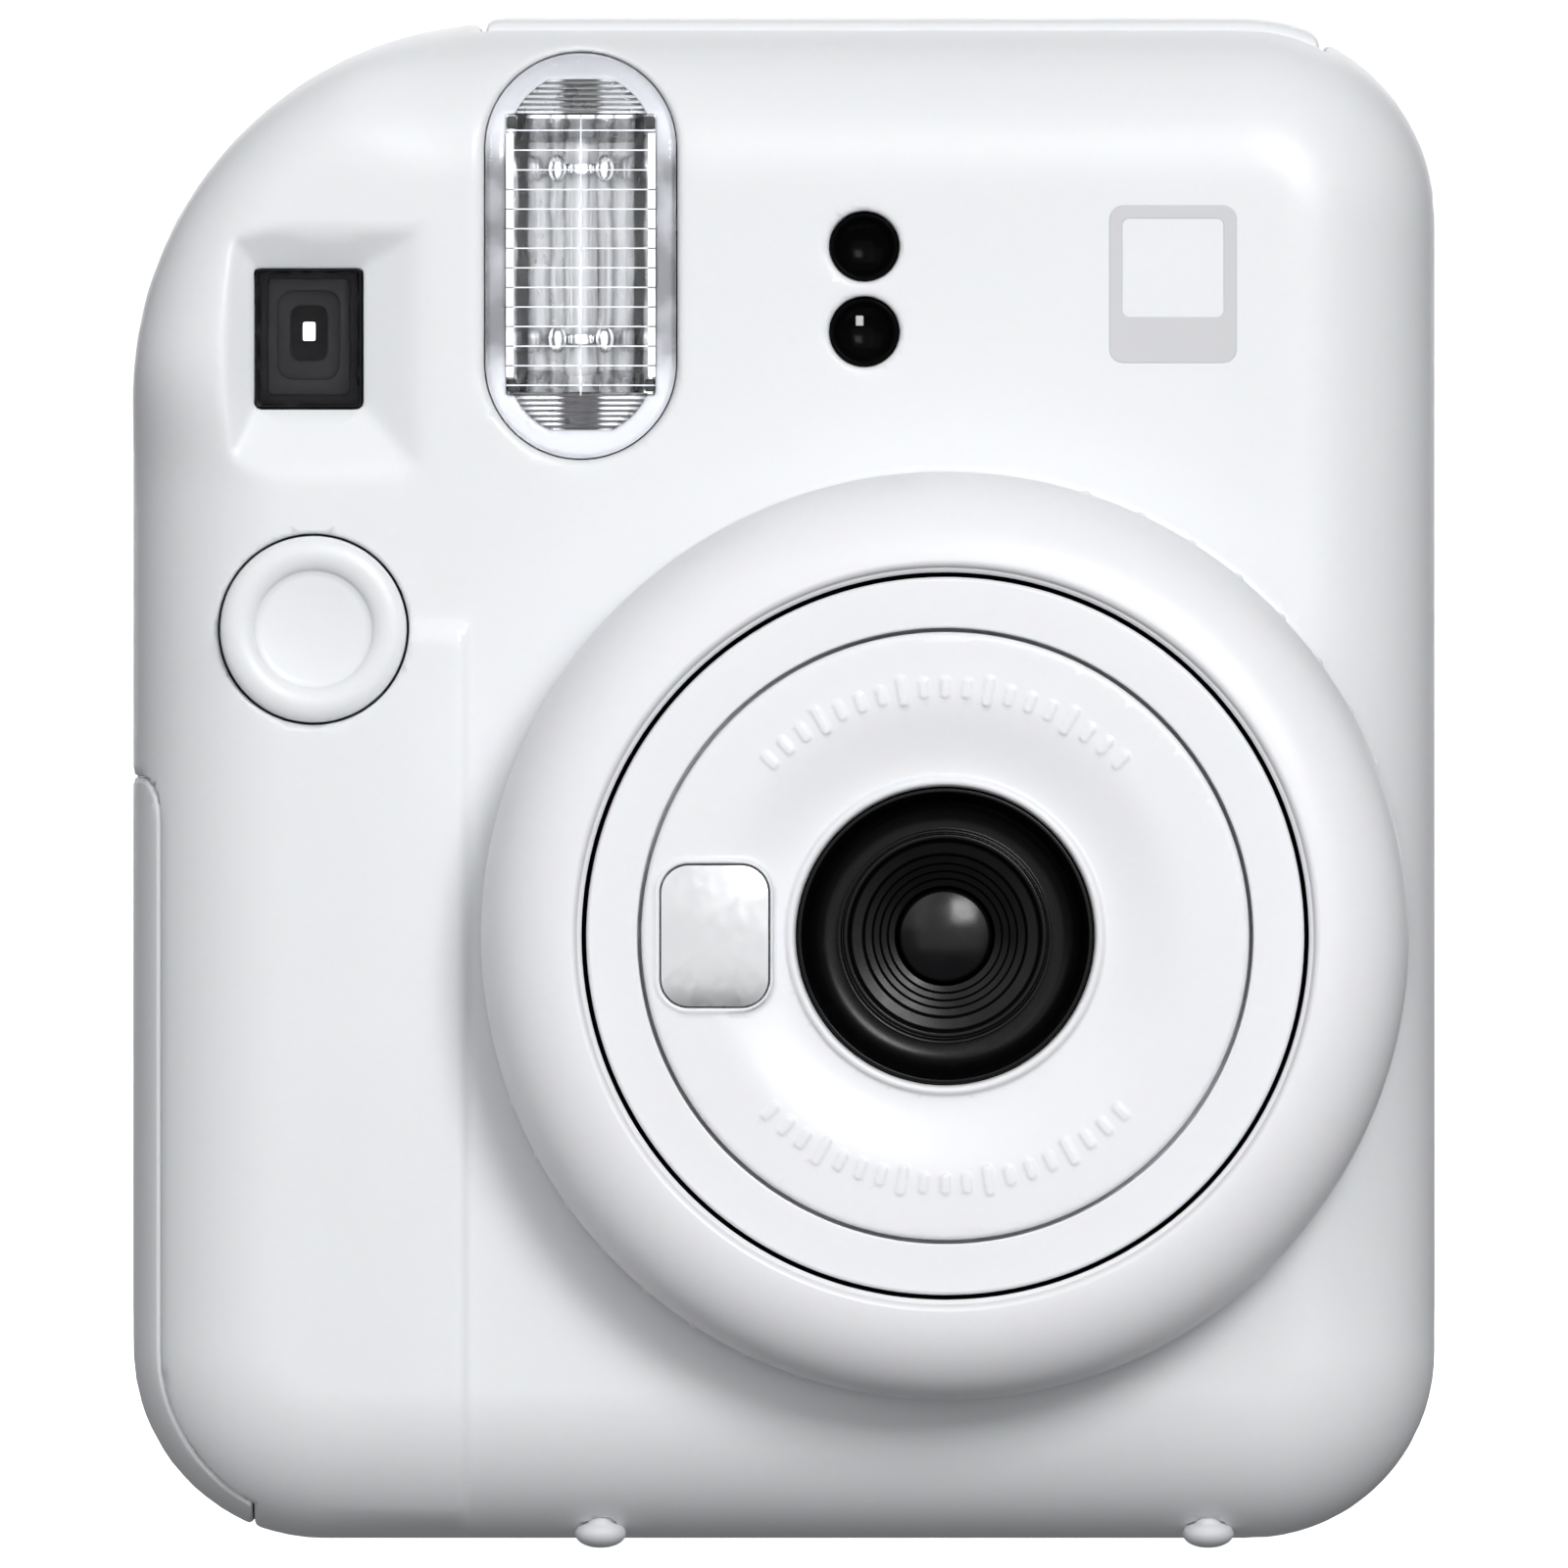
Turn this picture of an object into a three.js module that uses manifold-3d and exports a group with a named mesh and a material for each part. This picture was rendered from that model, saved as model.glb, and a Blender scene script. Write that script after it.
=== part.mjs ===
// Instant camera, in millimetres. +Z is up, the lens looks along -Y, and the camera's own right-hand side
// as seen from the front is +X. The origin is the middle of the footprint, on the surface it stands on.
import * as THREE from 'three';
import { mergeVertices } from 'three/addons/utils/BufferGeometryUtils.js';
import Module from 'manifold-3d';

const wasm = await Module();
wasm.setup();

// Case
const HALF_WIDTH = 52;
const CASE_BOTTOM = 0.7;
const CASE_TOP = 121.8;
const FRONT_PLANE = -18.3;
const BACK_PLANE = 33.3;
const EDGE_FILLET = 12;
const WALL = 2.4;
const GAP = 0.3;
const SPLIT_Y = 4;
const CORNER_RADII = { topLeft: 30, topRight: 15.7, bottomRight: 14.9, bottomLeft: 15.3 };
const INNER_FRONT = FRONT_PLANE + WALL;
const INNER_BACK = BACK_PLANE - WALL;

// Lens unit
const LENS_X = 12.8;
const LENS_Z = 48.9;
const RING_RADIUS = 36.9;
const RING_BORE = 28.9;
const RING_FRONT = -33.3;
const PLINTH_FRONT = -19.5;
const SKIRT_INNER = 30.9;
const SKIRT_OUTER = 32.3;
const SKIRT_END = -3;
const RETAINER_RADIUS = 34.4;
const BARREL_RADIUS = 28.6;
const FOLLOWER_Y = -4.9;
const LENS_TRAVEL = 12;
const RING_TURN = THREE.MathUtils.degToRad(75);
const FOLLOWER_ANGLES = [90, 210, 330].map(THREE.MathUtils.degToRad);
const POST_CIRCLE = 36.8;
const POST_ANGLES = [45, 135, 225, 315].map(THREE.MathUtils.degToRad);
const GUIDE_INNER = 29.2;
const GUIDE_OUTER = 30.6;

// Front face
const FLASH = { x: -16.2, z: 103.1, width: 15.2, height: 32.4 };
const FINDER = { x: -37.9, z: 96.5, width: 8.6, height: 11.2 };
const SENSOR_X = 6.4;
const SENSOR_ZS = { light_meter_window: 104.1, flash_sensor_window: 97.3 };
const SENSOR_RADIUS = 2.83;
const BUTTON = { x: -37.5, z: 73.3, radius: 7.46 };

// Film path
const CHAMBER = { x0: -18.2, x1: 43.8, y0: 13.4, y1: 27.3, z0: 9.6, z1: 104 };
const CHAMBER_WALL = 1.6;
const EXPOSURE = { width: 46, height: 62, z: 54 };
const ROLLER_Z = 110.5;
const ROLLER_RADIUS = 4;
const ROLLER_YS = [10.85, 19.15];
const FILM_SLOT = { x0: -15.2, x1: 40.8, y0: 13.4, y1: 16.6 };
const GEAR_MODULE = (ROLLER_YS[1] - ROLLER_YS[0]) / 12;
const ROLLER_TEETH = 12;
const IDLER_TEETH = 24;
const PINION_TEETH = 8;
const GEAR_Y = ROLLER_YS[1];
const IDLER_Z = ROLLER_Z - GEAR_MODULE * (ROLLER_TEETH + IDLER_TEETH) / 2;
const PINION_Z = IDLER_Z - GEAR_MODULE * (IDLER_TEETH + PINION_TEETH) / 2;
const GEAR_X0 = -23.2;
const GEAR_X1 = -20.7;
const SHAFT_RADIUS = 1.2;
const BEARING_RADIUS = 1.45;

// Back
const DOOR = { x0: -22, x1: 45.3, z0: 8, z1: 108 };
const DOOR_WINDOW = { x: 25, z: 62, width: 9, height: 17 };
const DOOR_HINGE = { x: 46, y: 31.3, radius: 2, pin: 0.9 };
const DOOR_KNUCKLES = [[14, 19.3], [96.7, 102]];
const CASE_KNUCKLES = [[19.7, 27], [89, 96.3]];
const KNUCKLE_ROOM = [[13.6, 27.4], [88.6, 102.4]];
const LATCH = { x: -26.4, z: 62 };
const COUNTER = { x: -33, z: 40, radius: 7 };

// Battery bay
const BATTERY = { x: -40.2, ys: [-3.9, 11.1], radius: 7.1, z0: 9.5, z1: 59 };
const BATTERY_DOOR = { front: -13.5, rear: 17.5, top: 61.5, inner: -42.4, frontInner: -12, hingeX: -50.8 };

// Feet and screws
const FOOT_XS = { left: -14.65, right: 33.85 };
const FOOT_YS = { front: -11, rear: 24 };
const FOOT_RADIUS = 2.1;
const CASE_SCREWS = { left: -28, right: 41 };
const CASE_SCREW_Y = 12;

const FAR = 200;
const SIDES = 44;

// ---- shape helpers ----------------------------------------------------------------------------------

function solid(geometry) {
  const bare = geometry.clone();
  bare.deleteAttribute('normal');
  bare.deleteAttribute('uv');
  const merged = mergeVertices(bare, 1e-4);
  const triVerts = new Uint32Array(merged.index.array);
  const vertProperties = new Float32Array(merged.attributes.position.array);
  return new wasm.Manifold(new wasm.Mesh({ numProp: 3, vertProperties, triVerts }));
}

function arc(x, y, radius, from, to, steps) {
  return Array.from({ length: steps + 1 }, (_, i) => {
    const angle = from + (to - from) * i / steps;
    return new THREE.Vector2(x + radius * Math.cos(angle), y + radius * Math.sin(angle));
  });
}

function roundedRectangle(x, y, width, height, radius, steps = 4) {
  const dx = width / 2 - radius;
  const dy = height / 2 - radius;
  return new THREE.Shape([[1, 1], [-1, 1], [-1, -1], [1, -1]].flatMap(([sx, sy], i) =>
    arc(x + sx * dx, y + sy * dy, radius, i * Math.PI / 2, (i + 1) * Math.PI / 2, steps)));
}

function polygon(points) {
  return new THREE.Shape(points.map(([x, y]) => new THREE.Vector2(x, y)));
}

function extrude(shape, depth) {
  return new THREE.ExtrudeGeometry(shape, { depth, bevelEnabled: false, curveSegments: 1 });
}

// A shape drawn in x and z, pulled along y
function prismY(shape, y0, y1) {
  return solid(extrude(shape, y1 - y0).rotateX(Math.PI / 2).translate(0, y1, 0));
}

// A shape drawn in x and y, pulled along z
function prismZ(shape, z0, z1) {
  return solid(extrude(shape, z1 - z0).translate(0, 0, z0));
}

// A shape drawn in y and z, pulled along x
function prismX(shape, x0, x1) {
  const turn = new THREE.Matrix4().makeBasis(
    new THREE.Vector3(0, 1, 0), new THREE.Vector3(0, 0, 1), new THREE.Vector3(1, 0, 0));
  return solid(extrude(shape, x1 - x0).applyMatrix4(turn).translate(x0, 0, 0));
}

function block(x0, x1, y0, y1, z0, z1) {
  const box = new THREE.BoxGeometry(x1 - x0, y1 - y0, z1 - z0);
  return solid(box.translate((x0 + x1) / 2, (y0 + y1) / 2, (z0 + z1) / 2));
}

function rodX(radius, x0, x1, y, z, sides = 16) {
  const rod = new THREE.CylinderGeometry(radius, radius, x1 - x0, sides);
  return solid(rod.rotateZ(-Math.PI / 2).translate((x0 + x1) / 2, y, z));
}

function rodY(radius, y0, y1, x, z, sides = 16) {
  return solid(new THREE.CylinderGeometry(radius, radius, y1 - y0, sides).translate(x, (y0 + y1) / 2, z));
}

function rodZ(radius, z0, z1, x, y, sides = 16) {
  const rod = new THREE.CylinderGeometry(radius, radius, z1 - z0, sides);
  return solid(rod.rotateX(Math.PI / 2).translate(x, y, (z0 + z1) / 2));
}

// A profile of [radius, y] turned about the y axis. It closes on itself, or starts and ends on the axis.
function turned(profile, sides = 48) {
  const points = profile.map(([radius, y]) => new THREE.Vector2(radius, y));
  const onAxis = profile[0][0] === 0;
  if (!onAxis) {
    points.push(points[0].clone());
  }
  const geometry = new THREE.LatheGeometry(points, sides);
  const area = points.reduce((sum, p, i) => {
    const q = points[(i + 1) % points.length];
    return sum + p.x * q.y - q.x * p.y;
  }, 0);
  if (area < 0) {
    geometry.setIndex(Array.from(geometry.index.array).reverse());
  }
  return solid(geometry);
}

function profileArc(radius, y, size, from, to, steps) {
  return arc(radius, y, size, from, to, steps).map((p) => [p.x, p.y]);
}

function union(solids) {
  return solids.reduce((sum, item) => sum.add(item));
}

// The case's outline seen from the front, moved in by inset
function caseOutline(inset) {
  const { topLeft, topRight, bottomRight, bottomLeft } = CORNER_RADII;
  const corners = [
    [HALF_WIDTH - topRight, CASE_TOP - topRight, topRight],
    [-HALF_WIDTH + topLeft, CASE_TOP - topLeft, topLeft],
    [-HALF_WIDTH + bottomLeft, CASE_BOTTOM + bottomLeft, bottomLeft],
    [HALF_WIDTH - bottomRight, CASE_BOTTOM + bottomRight, bottomRight],
  ];
  return new THREE.Shape(corners.flatMap(([x, z, radius], i) =>
    arc(x, z, radius - inset, i * Math.PI / 2, (i + 1) * Math.PI / 2, 7)));
}

// The case as a full solid with filleted front and back edges, moved in by inset
function caseSolid(inset) {
  const fillet = EDGE_FILLET - inset;
  const depth = BACK_PLANE - FRONT_PLANE - 2 * EDGE_FILLET;
  const geometry = new THREE.ExtrudeGeometry(caseOutline(inset), {
    depth,
    curveSegments: 1,
    bevelEnabled: true,
    bevelThickness: fillet,
    bevelSize: fillet,
    bevelOffset: -fillet,
    bevelSegments: 4,
  });
  return solid(geometry.rotateX(Math.PI / 2).translate(0, BACK_PLANE - EDGE_FILLET, 0));
}

const WITHIN_CASE = caseSolid(WALL + 0.4);
const CASE_WALLS = caseSolid(0).subtract(caseSolid(WALL));

// ---- openings in the case ---------------------------------------------------------------------------

function flashOutline(margin) {
  const width = FLASH.width + 2 * margin;
  return roundedRectangle(FLASH.x, FLASH.z, width, FLASH.height + 2 * margin, width / 2 - 0.01, 7);
}

// The soft pyramid-shaped recess that leads to the viewfinder's front window
function finderRecess() {
  const depth = 2;
  const { x, z, width, height } = FINDER;
  const mouth = [[x - width / 2 - 2.5, z - height / 2 - 5.5], [x + width / 2 + 4.8, z + height / 2 + 3.1]];
  const floor = [[x - width / 2 - GAP, z - height / 2 - GAP], [x + width / 2 + GAP, z + height / 2 + GAP]];
  const ring = ([[x0, z0], [x1, z1]], y) => [[x0, y, z0], [x1, y, z0], [x1, y, z1], [x0, y, z1]];
  const corners = [...ring(mouth, FRONT_PLANE - 0.01), ...ring(floor, FRONT_PLANE + depth)];
  const faces = [0, 1, 2, 0, 2, 3, 4, 6, 5, 4, 7, 6,
    0, 4, 5, 0, 5, 1, 1, 5, 6, 1, 6, 2, 2, 6, 7, 2, 7, 3, 3, 7, 4, 3, 4, 0];
  const geometry = new THREE.BufferGeometry();
  geometry.setAttribute('position', new THREE.Float32BufferAttribute(corners.flat(), 3));
  geometry.setIndex(faces);
  return solid(geometry);
}

// The space of the battery door, which wraps round the bottom edge of the grip, grown by margin
function batteryDoorSpace(margin) {
  const { front, rear, top, inner, frontInner } = BATTERY_DOOR;
  const cornerRadius = 6.5;
  const side = prismX(new THREE.Shape([
    ...arc(front + cornerRadius, top - cornerRadius, cornerRadius + margin, Math.PI, Math.PI / 2, 6),
    new THREE.Vector2(rear + margin, top + margin),
    new THREE.Vector2(rear + margin, -FAR),
    new THREE.Vector2(front - margin, -FAR),
  ].reverse()), -FAR, inner + margin);
  const plan = prismZ(polygon([
    [-FAR, front - margin], [-50, front - margin], [inner + margin, frontInner - margin],
    [inner + margin, rear + margin], [-FAR, rear + margin],
  ]), -FAR, FAR);
  return side.intersect(plan);
}

function batteryDoorPin(radius, z0, z1) {
  return rodZ(radius, z0, z1, BATTERY_DOOR.hingeX, BATTERY_DOOR.rear);
}

function doorSpace(margin) {
  return block(DOOR.x0 - margin, DOOR.x1 + margin, 22, FAR, DOOR.z0 - margin, DOOR.z1 + margin);
}

function coverSpace(margin) {
  return block(-23.8 - margin, 42.8 + margin, -9.2 - margin, 24 + margin, 100, FAR);
}

function lugSpace(margin) {
  return block(-FAR, -46.5 + margin, 6.5 - margin, 15.5 + margin, 93.2 - margin, 100.7 + margin);
}

function footHole(y) {
  return union(Object.values(FOOT_XS).map((x) => rodZ(FOOT_RADIUS + GAP, -1, 8, x, y, 12)));
}

// ---- case -------------------------------------------------------------------------------------------

function frontShell() {
  const plinth = rodY(RING_RADIUS - 0.3, PLINTH_FRONT, -8, LENS_X, LENS_Z, SIDES).subtract(caseSolid(WALL));
  const posts = POST_ANGLES.map((angle) => rodY(1.9, INNER_FRONT - 1, -1.9,
    LENS_X + POST_CIRCLE * Math.cos(angle), LENS_Z + POST_CIRCLE * Math.sin(angle), 10));
  const pocket = union([
    rodY(SKIRT_OUTER + 0.4, -FAR, 0, LENS_X, LENS_Z, SIDES),
    rodY(RETAINER_RADIUS + 0.4, INNER_FRONT, -8, LENS_X, LENS_Z, SIDES),
    prismY(flashOutline(GAP), -FAR, 0),
    finderRecess(),
    prismY(roundedRectangle(FINDER.x, FINDER.z, FINDER.width + 0.6, FINDER.height + 0.6, 0.9), -FAR, 0),
    rodY(BUTTON.radius + GAP, -FAR, 0, BUTTON.x, BUTTON.z, 28),
    ...Object.values(SENSOR_ZS).map((z) => rodY(SENSOR_RADIUS + GAP, -FAR, 0, SENSOR_X, z, 20)),
    batteryDoorSpace(GAP),
    coverSpace(GAP),
    footHole(FOOT_YS.front),
  ]);
  const half = block(-FAR, FAR, -FAR, SPLIT_Y - GAP / 2, -FAR, FAR);
  return union([CASE_WALLS, plinth, ...posts]).subtract(pocket).intersect(half);
}

// The knuckles that the back door's two pins run through: one part on the case, one on the door
function knuckle(z0, z1, x0, x1, y0) {
  const { x, y, radius } = DOOR_HINGE;
  const web = block(x0, x1, y0, y + 0.4, z0, z1).intersect(caseSolid(0).subtract(caseSolid(WALL + 0.6)));
  return rodZ(radius, z0, z1, x, y).add(web);
}

function hingeRoom() {
  const { x, y, radius } = DOOR_HINGE;
  return union(KNUCKLE_ROOM.map(([z0, z1]) => rodZ(radius + 0.4, z0, z1, x, y)));
}

function pinBore() {
  return rodZ(DOOR_HINGE.pin + GAP, -FAR, FAR, DOOR_HINGE.x, DOOR_HINGE.y, 12);
}

function rearShell() {
  const latchPad = block(LATCH.x - 4, LATCH.x + 3.6, 30.1, INNER_BACK + 0.1, 48, 72);
  const counterStud = rodY(1, 27.8, INNER_BACK + 0.1, COUNTER.x, COUNTER.z, 12);
  const screwBosses = Object.values(CASE_SCREWS).map((x) => rodZ(3, 2, 7.6, x, CASE_SCREW_Y, 12));
  const caseKnuckles = CASE_KNUCKLES.map(([z0, z1]) => knuckle(z0, z1, DOOR_HINGE.x, 49.8, 27.5));
  const openings = union([
    doorSpace(0.35),
    coverSpace(GAP),
    batteryDoorSpace(0.35),
    batteryDoorPin(1.2 + GAP, -FAR, BATTERY_DOOR.top + GAP),
    block(-FAR, BATTERY_DOOR.hingeX, 0, BATTERY_DOOR.rear + 1.55, 14, BATTERY_DOOR.top + GAP),
    batteryDoorPin(0.85, BATTERY_DOOR.top, BATTERY_DOOR.top + 1.9),
    lugSpace(GAP),
    prismY(roundedRectangle(FINDER.x, FINDER.z, 13, 16, 2.8), 20, FAR),
    block(LATCH.x - 2.7, LATCH.x + 2.7, 31.3, FAR, 49.5, 70.5),
    block(LATCH.x - 1, LATCH.x + 1, 28, FAR, 53.6, 66.4),
    block(COUNTER.x - 2.1, COUNTER.x + 2.1, 30, FAR, 42.5, 46.7),
    footHole(FOOT_YS.rear),
    ...Object.values(CASE_SCREWS).flatMap((x) =>
      [rodZ(2.5, -1, 3, x, CASE_SCREW_Y, 12), rodZ(1.4, -1, 9, x, CASE_SCREW_Y, 12)]),
  ]);
  const half = block(-FAR, FAR, SPLIT_Y + GAP / 2, FAR, -FAR, FAR);
  return union([CASE_WALLS, latchPad, counterStud, ...screwBosses]).subtract(openings)
    .subtract(hingeRoom()).add(union(caseKnuckles)).subtract(pinBore()).intersect(half);
}

// The raised cover over the film exit
function topCover() {
  const slot = block(FILM_SLOT.x0, FILM_SLOT.x1, FILM_SLOT.y0, FILM_SLOT.y1, 100, FAR);
  return caseSolid(-0.4).subtract(caseSolid(WALL)).intersect(coverSpace(0)).subtract(slot);
}

// ---- back door, latch and counter -------------------------------------------------------------------

function windowOutline(margin) {
  const { x, z, width, height } = DOOR_WINDOW;
  return roundedRectangle(x, z, width + 2 * margin, height + 2 * margin, 1.5 + margin, 3);
}

function backDoor() {
  const knuckles = DOOR_KNUCKLES.map(([z0, z1]) => knuckle(z0, z1, 42.5, DOOR_HINGE.x, 29.3));
  return CASE_WALLS.intersect(doorSpace(0)).subtract(hingeRoom()).add(union(knuckles))
    .subtract(pinBore()).subtract(prismY(windowOutline(GAP), 20, FAR));
}

function pressurePlate() {
  const plate = block(-12, 38, 28.9, 29.7, 20, 95).subtract(prismY(windowOutline(1), 20, 40));
  const springs = [[-4, 40], [-4, 75], [34, 40], [34, 75]].map(([x, z]) =>
    block(x - 2, x + 2, 29.6, 30.5, z - 6, z + 6));
  return union([plate, ...springs]);
}

function doorLatch() {
  const { x, z } = LATCH;
  const thumbPiece = block(x - 2.3, x + 2.3, 31.6, 32.5, z - 8, z + 8);
  const ribs = Array.from({ length: 5 }, (_, i) => {
    const ribZ = z - 5 + 2.5 * i;
    return block(x - 2.1, x + 2.1, 32.4, 33.1, ribZ - 0.5, ribZ + 0.5);
  });
  const stem = block(x - 0.6, x + 0.6, 29.6, 31.8, z - 4, z + 4);
  const hookPlate = block(x - 2.2, x + 3.5, 27.9, 29.7, z - 7, z + 7);
  return union([thumbPiece, ...ribs, stem, hookPlate]);
}

function counterDial() {
  const disc = rodY(COUNTER.radius, 28.7, 29.7, COUNTER.x, COUNTER.z, 32);
  return disc.subtract(rodY(1.4, 20, 40, COUNTER.x, COUNTER.z, 12));
}

// ---- lens unit, modelled about the lens axis --------------------------------------------------------

// A small box at an angle round the lens axis, used for followers' slots
function slotStep(angle, y, halfWidth, halfHeight) {
  const box = new THREE.BoxGeometry(8, 2 * halfHeight, 2 * halfWidth);
  return solid(box.translate(SKIRT_INNER, y, 0).rotateY(-angle));
}

// The cam slots start at the followers and climb towards the front as the ring turns
function camSlots() {
  const steps = 12;
  return union(FOLLOWER_ANGLES.flatMap((start) => Array.from({ length: steps + 1 }, (_, i) => {
    const part = i / steps;
    return slotStep(start - RING_TURN * part, FOLLOWER_Y - LENS_TRAVEL * part, 2.2, 1.5);
  })));
}

function twistRing() {
  const shoulder = 7.5;
  const profile = [
    [RING_BORE, RING_FRONT + 0.3],
    ...profileArc(RING_RADIUS - shoulder, RING_FRONT + shoulder, shoulder, -Math.PI / 2, 0, 6),
    [RING_RADIUS, PLINTH_FRONT - GAP],
    [34.9, PLINTH_FRONT - GAP],
    [34.9, -26.5],
    [SKIRT_OUTER, -26.5],
    [SKIRT_OUTER, SKIRT_END],
    [SKIRT_INNER, SKIRT_END],
    [SKIRT_INNER, -18.2],
    [RING_BORE, -18.2],
  ];
  return turned(profile, SIDES).subtract(camSlots());
}

function ringRetainer() {
  const inner = SKIRT_OUTER + 0.4;
  const profile = [
    [inner, -15.6], [RETAINER_RADIUS, -15.6], [RETAINER_RADIUS, -14.2], [inner, -14.2],
  ];
  const clip = turned(profile, SIDES);
  return clip.subtract(block(-1.5, 1.5, -FAR, FAR, -FAR, 0));
}

function barrelGuide() {
  const sleeveProfile = [
    [GUIDE_INNER, -17.9], [GUIDE_OUTER, -17.9], [GUIDE_OUTER, 0], [GUIDE_INNER, 0],
  ];
  const flangeProfile = [
    [GUIDE_OUTER - 0.5, -1.6], [39.5, -1.6], [39.5, 0], [GUIDE_OUTER - 0.5, 0],
  ];
  const sleeve = turned(sleeveProfile, SIDES);
  const flange = turned(flangeProfile, SIDES);
  const slots = union(FOLLOWER_ANGLES.map((angle) => {
    const box = new THREE.BoxGeometry(3, 15, 2.4);
    return solid(box.translate(GUIDE_INNER + 0.7, -11, 0).rotateY(-angle));
  }));
  const screwHoles = union(POST_ANGLES.map((angle) =>
    rodY(1.5, -3, 2, POST_CIRCLE * Math.cos(angle), POST_CIRCLE * Math.sin(angle), 10)));
  const room = WITHIN_CASE.translate([-LENS_X, 0, -LENS_Z]);
  return flange.subtract(screwHoles).intersect(room).add(sleeve).subtract(slots);
}

function guideScrew() {
  return rodY(2.3, 0.3, 1.7, 0, 0, 12).add(rodY(1.1, -1.5, 0.4, 0, 0, 8));
}

function lensBarrel() {
  const tube = turned([
    [24.5, -32.6], [28.1, -32.6], [BARREL_RADIUS, -32.1], [BARREL_RADIUS, -3.2], [27, -3.2],
    [27, -29.1], [23, -29.1], [23, -30.3], [24.5, -30.3],
  ], SIDES);
  const followers = FOLLOWER_ANGLES.map((angle) => {
    const pin = new THREE.CylinderGeometry(0.9, 0.9, 4, 8);
    return solid(pin.rotateZ(-Math.PI / 2).translate(30, FOLLOWER_Y, 0).rotateY(-angle));
  });
  return union([tube, ...followers]);
}

function mirrorOutline(margin) {
  return roundedRectangle(-18.3, 0, 8.5 + 2 * margin, 11.2 + 2 * margin, 2.2 + margin, 4);
}

function lensFrontPlate() {
  return turned([
    [12.1, -31.5], [12.4, -31.9], [13.1, -31.8], [13.3, -31.4], [15, -31.8], [17, -32.2], [19, -32.4],
    [24.2, -32.4], [24.2, -30.6], [13.5, -30], [12.1, -29.6],
  ], 36).subtract(prismY(mirrorOutline(0.2), -FAR, -31));
}

function selfieMirror() {
  return prismY(mirrorOutline(0), -32.55, -31.3);
}

// Black stepped funnel that leads down to the front lens
function lensHood() {
  return turned([
    [11.4, -31.4], [11.8, -31.4], [11.8, -22], [5.5, -22], [5.5, -20.6], [3.2, -20.6], [3.2, -23.6],
    [4.1, -23.6], [4.1, -25.4], [5, -25.4], [5.4, -26.6], [7, -26.6], [7.5, -28.2], [9, -28.2],
    [9.4, -29.8], [10.8, -29.8],
  ], 24);
}

function frontLens() {
  return turned([[0, -25.9], [1.9, -25.7], [3.7, -25], [3.7, -24], [0, -24]], 24);
}

const BLADE_PIVOT = [10, 5];

function shutterPlate() {
  const [x, z] = BLADE_PIVOT;
  const plate = turned([[2.6, -20.3], [26.7, -20.3], [26.7, -18.9], [2.6, -18.9]], 32);
  return plate.add(rodY(0.8, -19.5, -17.4, x, z, 10));
}

function shutterBlade() {
  const [x, z] = BLADE_PIVOT;
  const tongue = polygon([
    [x + 1.6, z - 2], [x + 1.6, z + 2], [x - 2, z + 2.2], [-3.4, 3.2], [-3.6, -3.2], [3.2, -3.4],
  ]);
  return prismY(tongue, -18.5, -18).subtract(rodY(1.1, -20, -16, x, z, 10));
}

// ---- flash ------------------------------------------------------------------------------------------

function flashWindow() {
  return caseSolid(0).subtract(caseSolid(1.6)).intersect(prismY(flashOutline(0), -FAR, 0));
}

function parabola(halfWidth, front, depth) {
  return Array.from({ length: 13 }, (_, i) => {
    const x = halfWidth * (i / 6 - 1);
    return new THREE.Vector2(FLASH.x + x, front + depth * (1 - (x / halfWidth) ** 2));
  });
}

function flashReflector() {
  const outer = parabola(6.4, -14.4, 9.8);
  const inner = parabola(5.9, -14.4, 9.2).reverse();
  const trough = prismZ(new THREE.Shape([...outer, ...inner]), 93.2, 113);
  const ends = [93.2, 112.4].map((z) => prismZ(new THREE.Shape(parabola(6.4, -14.4, 9.8)), z, z + 0.6));
  return union([trough, ...ends]).subtract(rodZ(1.6, 80, 130, FLASH.x, -8.6, 12));
}

function flashTube() {
  const glass = rodZ(1.25, 90.5, 115.5, FLASH.x, -8.6, 12);
  return union([glass, rodZ(0.5, 88.5, 117.3, FLASH.x, -8.6, 8)]);
}

// ---- viewfinder -------------------------------------------------------------------------------------

function finderBlock(width, height, radius, y0, y1) {
  return prismY(roundedRectangle(FINDER.x, FINDER.z, width, height, radius, 3), y0, y1);
}

function finderTube() {
  return finderBlock(11.4, 13.4, 1.4, -13.4, 26.8).subtract(finderBlock(9, 11, 0.8, -FAR, FAR));
}

function eyepieceFrame() {
  const rim = finderBlock(12.4, 15.4, 2.5, 27.2, BACK_PLANE);
  return rim.subtract(finderBlock(7.6, 10.2, 1.5, 20, 40)).subtract(finderBlock(9.6, 12.2, 1.5, 20, 30.6));
}

// ---- shutter button ---------------------------------------------------------------------------------

function shutterButton() {
  const { radius } = BUTTON;
  return turned([
    [0, -18.1], [2.6, -18.2], [4.8, -18.7], [5.4, -19.3], [6.1, -19.5], [6.9, -19.2], [radius, -18.4],
    [radius, -12.9], [8.5, -12.9], [8.5, -11.9], [2, -11.9], [2, -11.2], [0, -11.2],
  ], 24);
}

function shutterSwitch() {
  const { x, z } = BUTTON;
  return block(x - 3, x + 3, -8.9, -6.4, z - 3, z + 3).add(rodY(1.5, -9.4, -8.8, x, z, 10));
}

// ---- battery bay ------------------------------------------------------------------------------------

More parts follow.
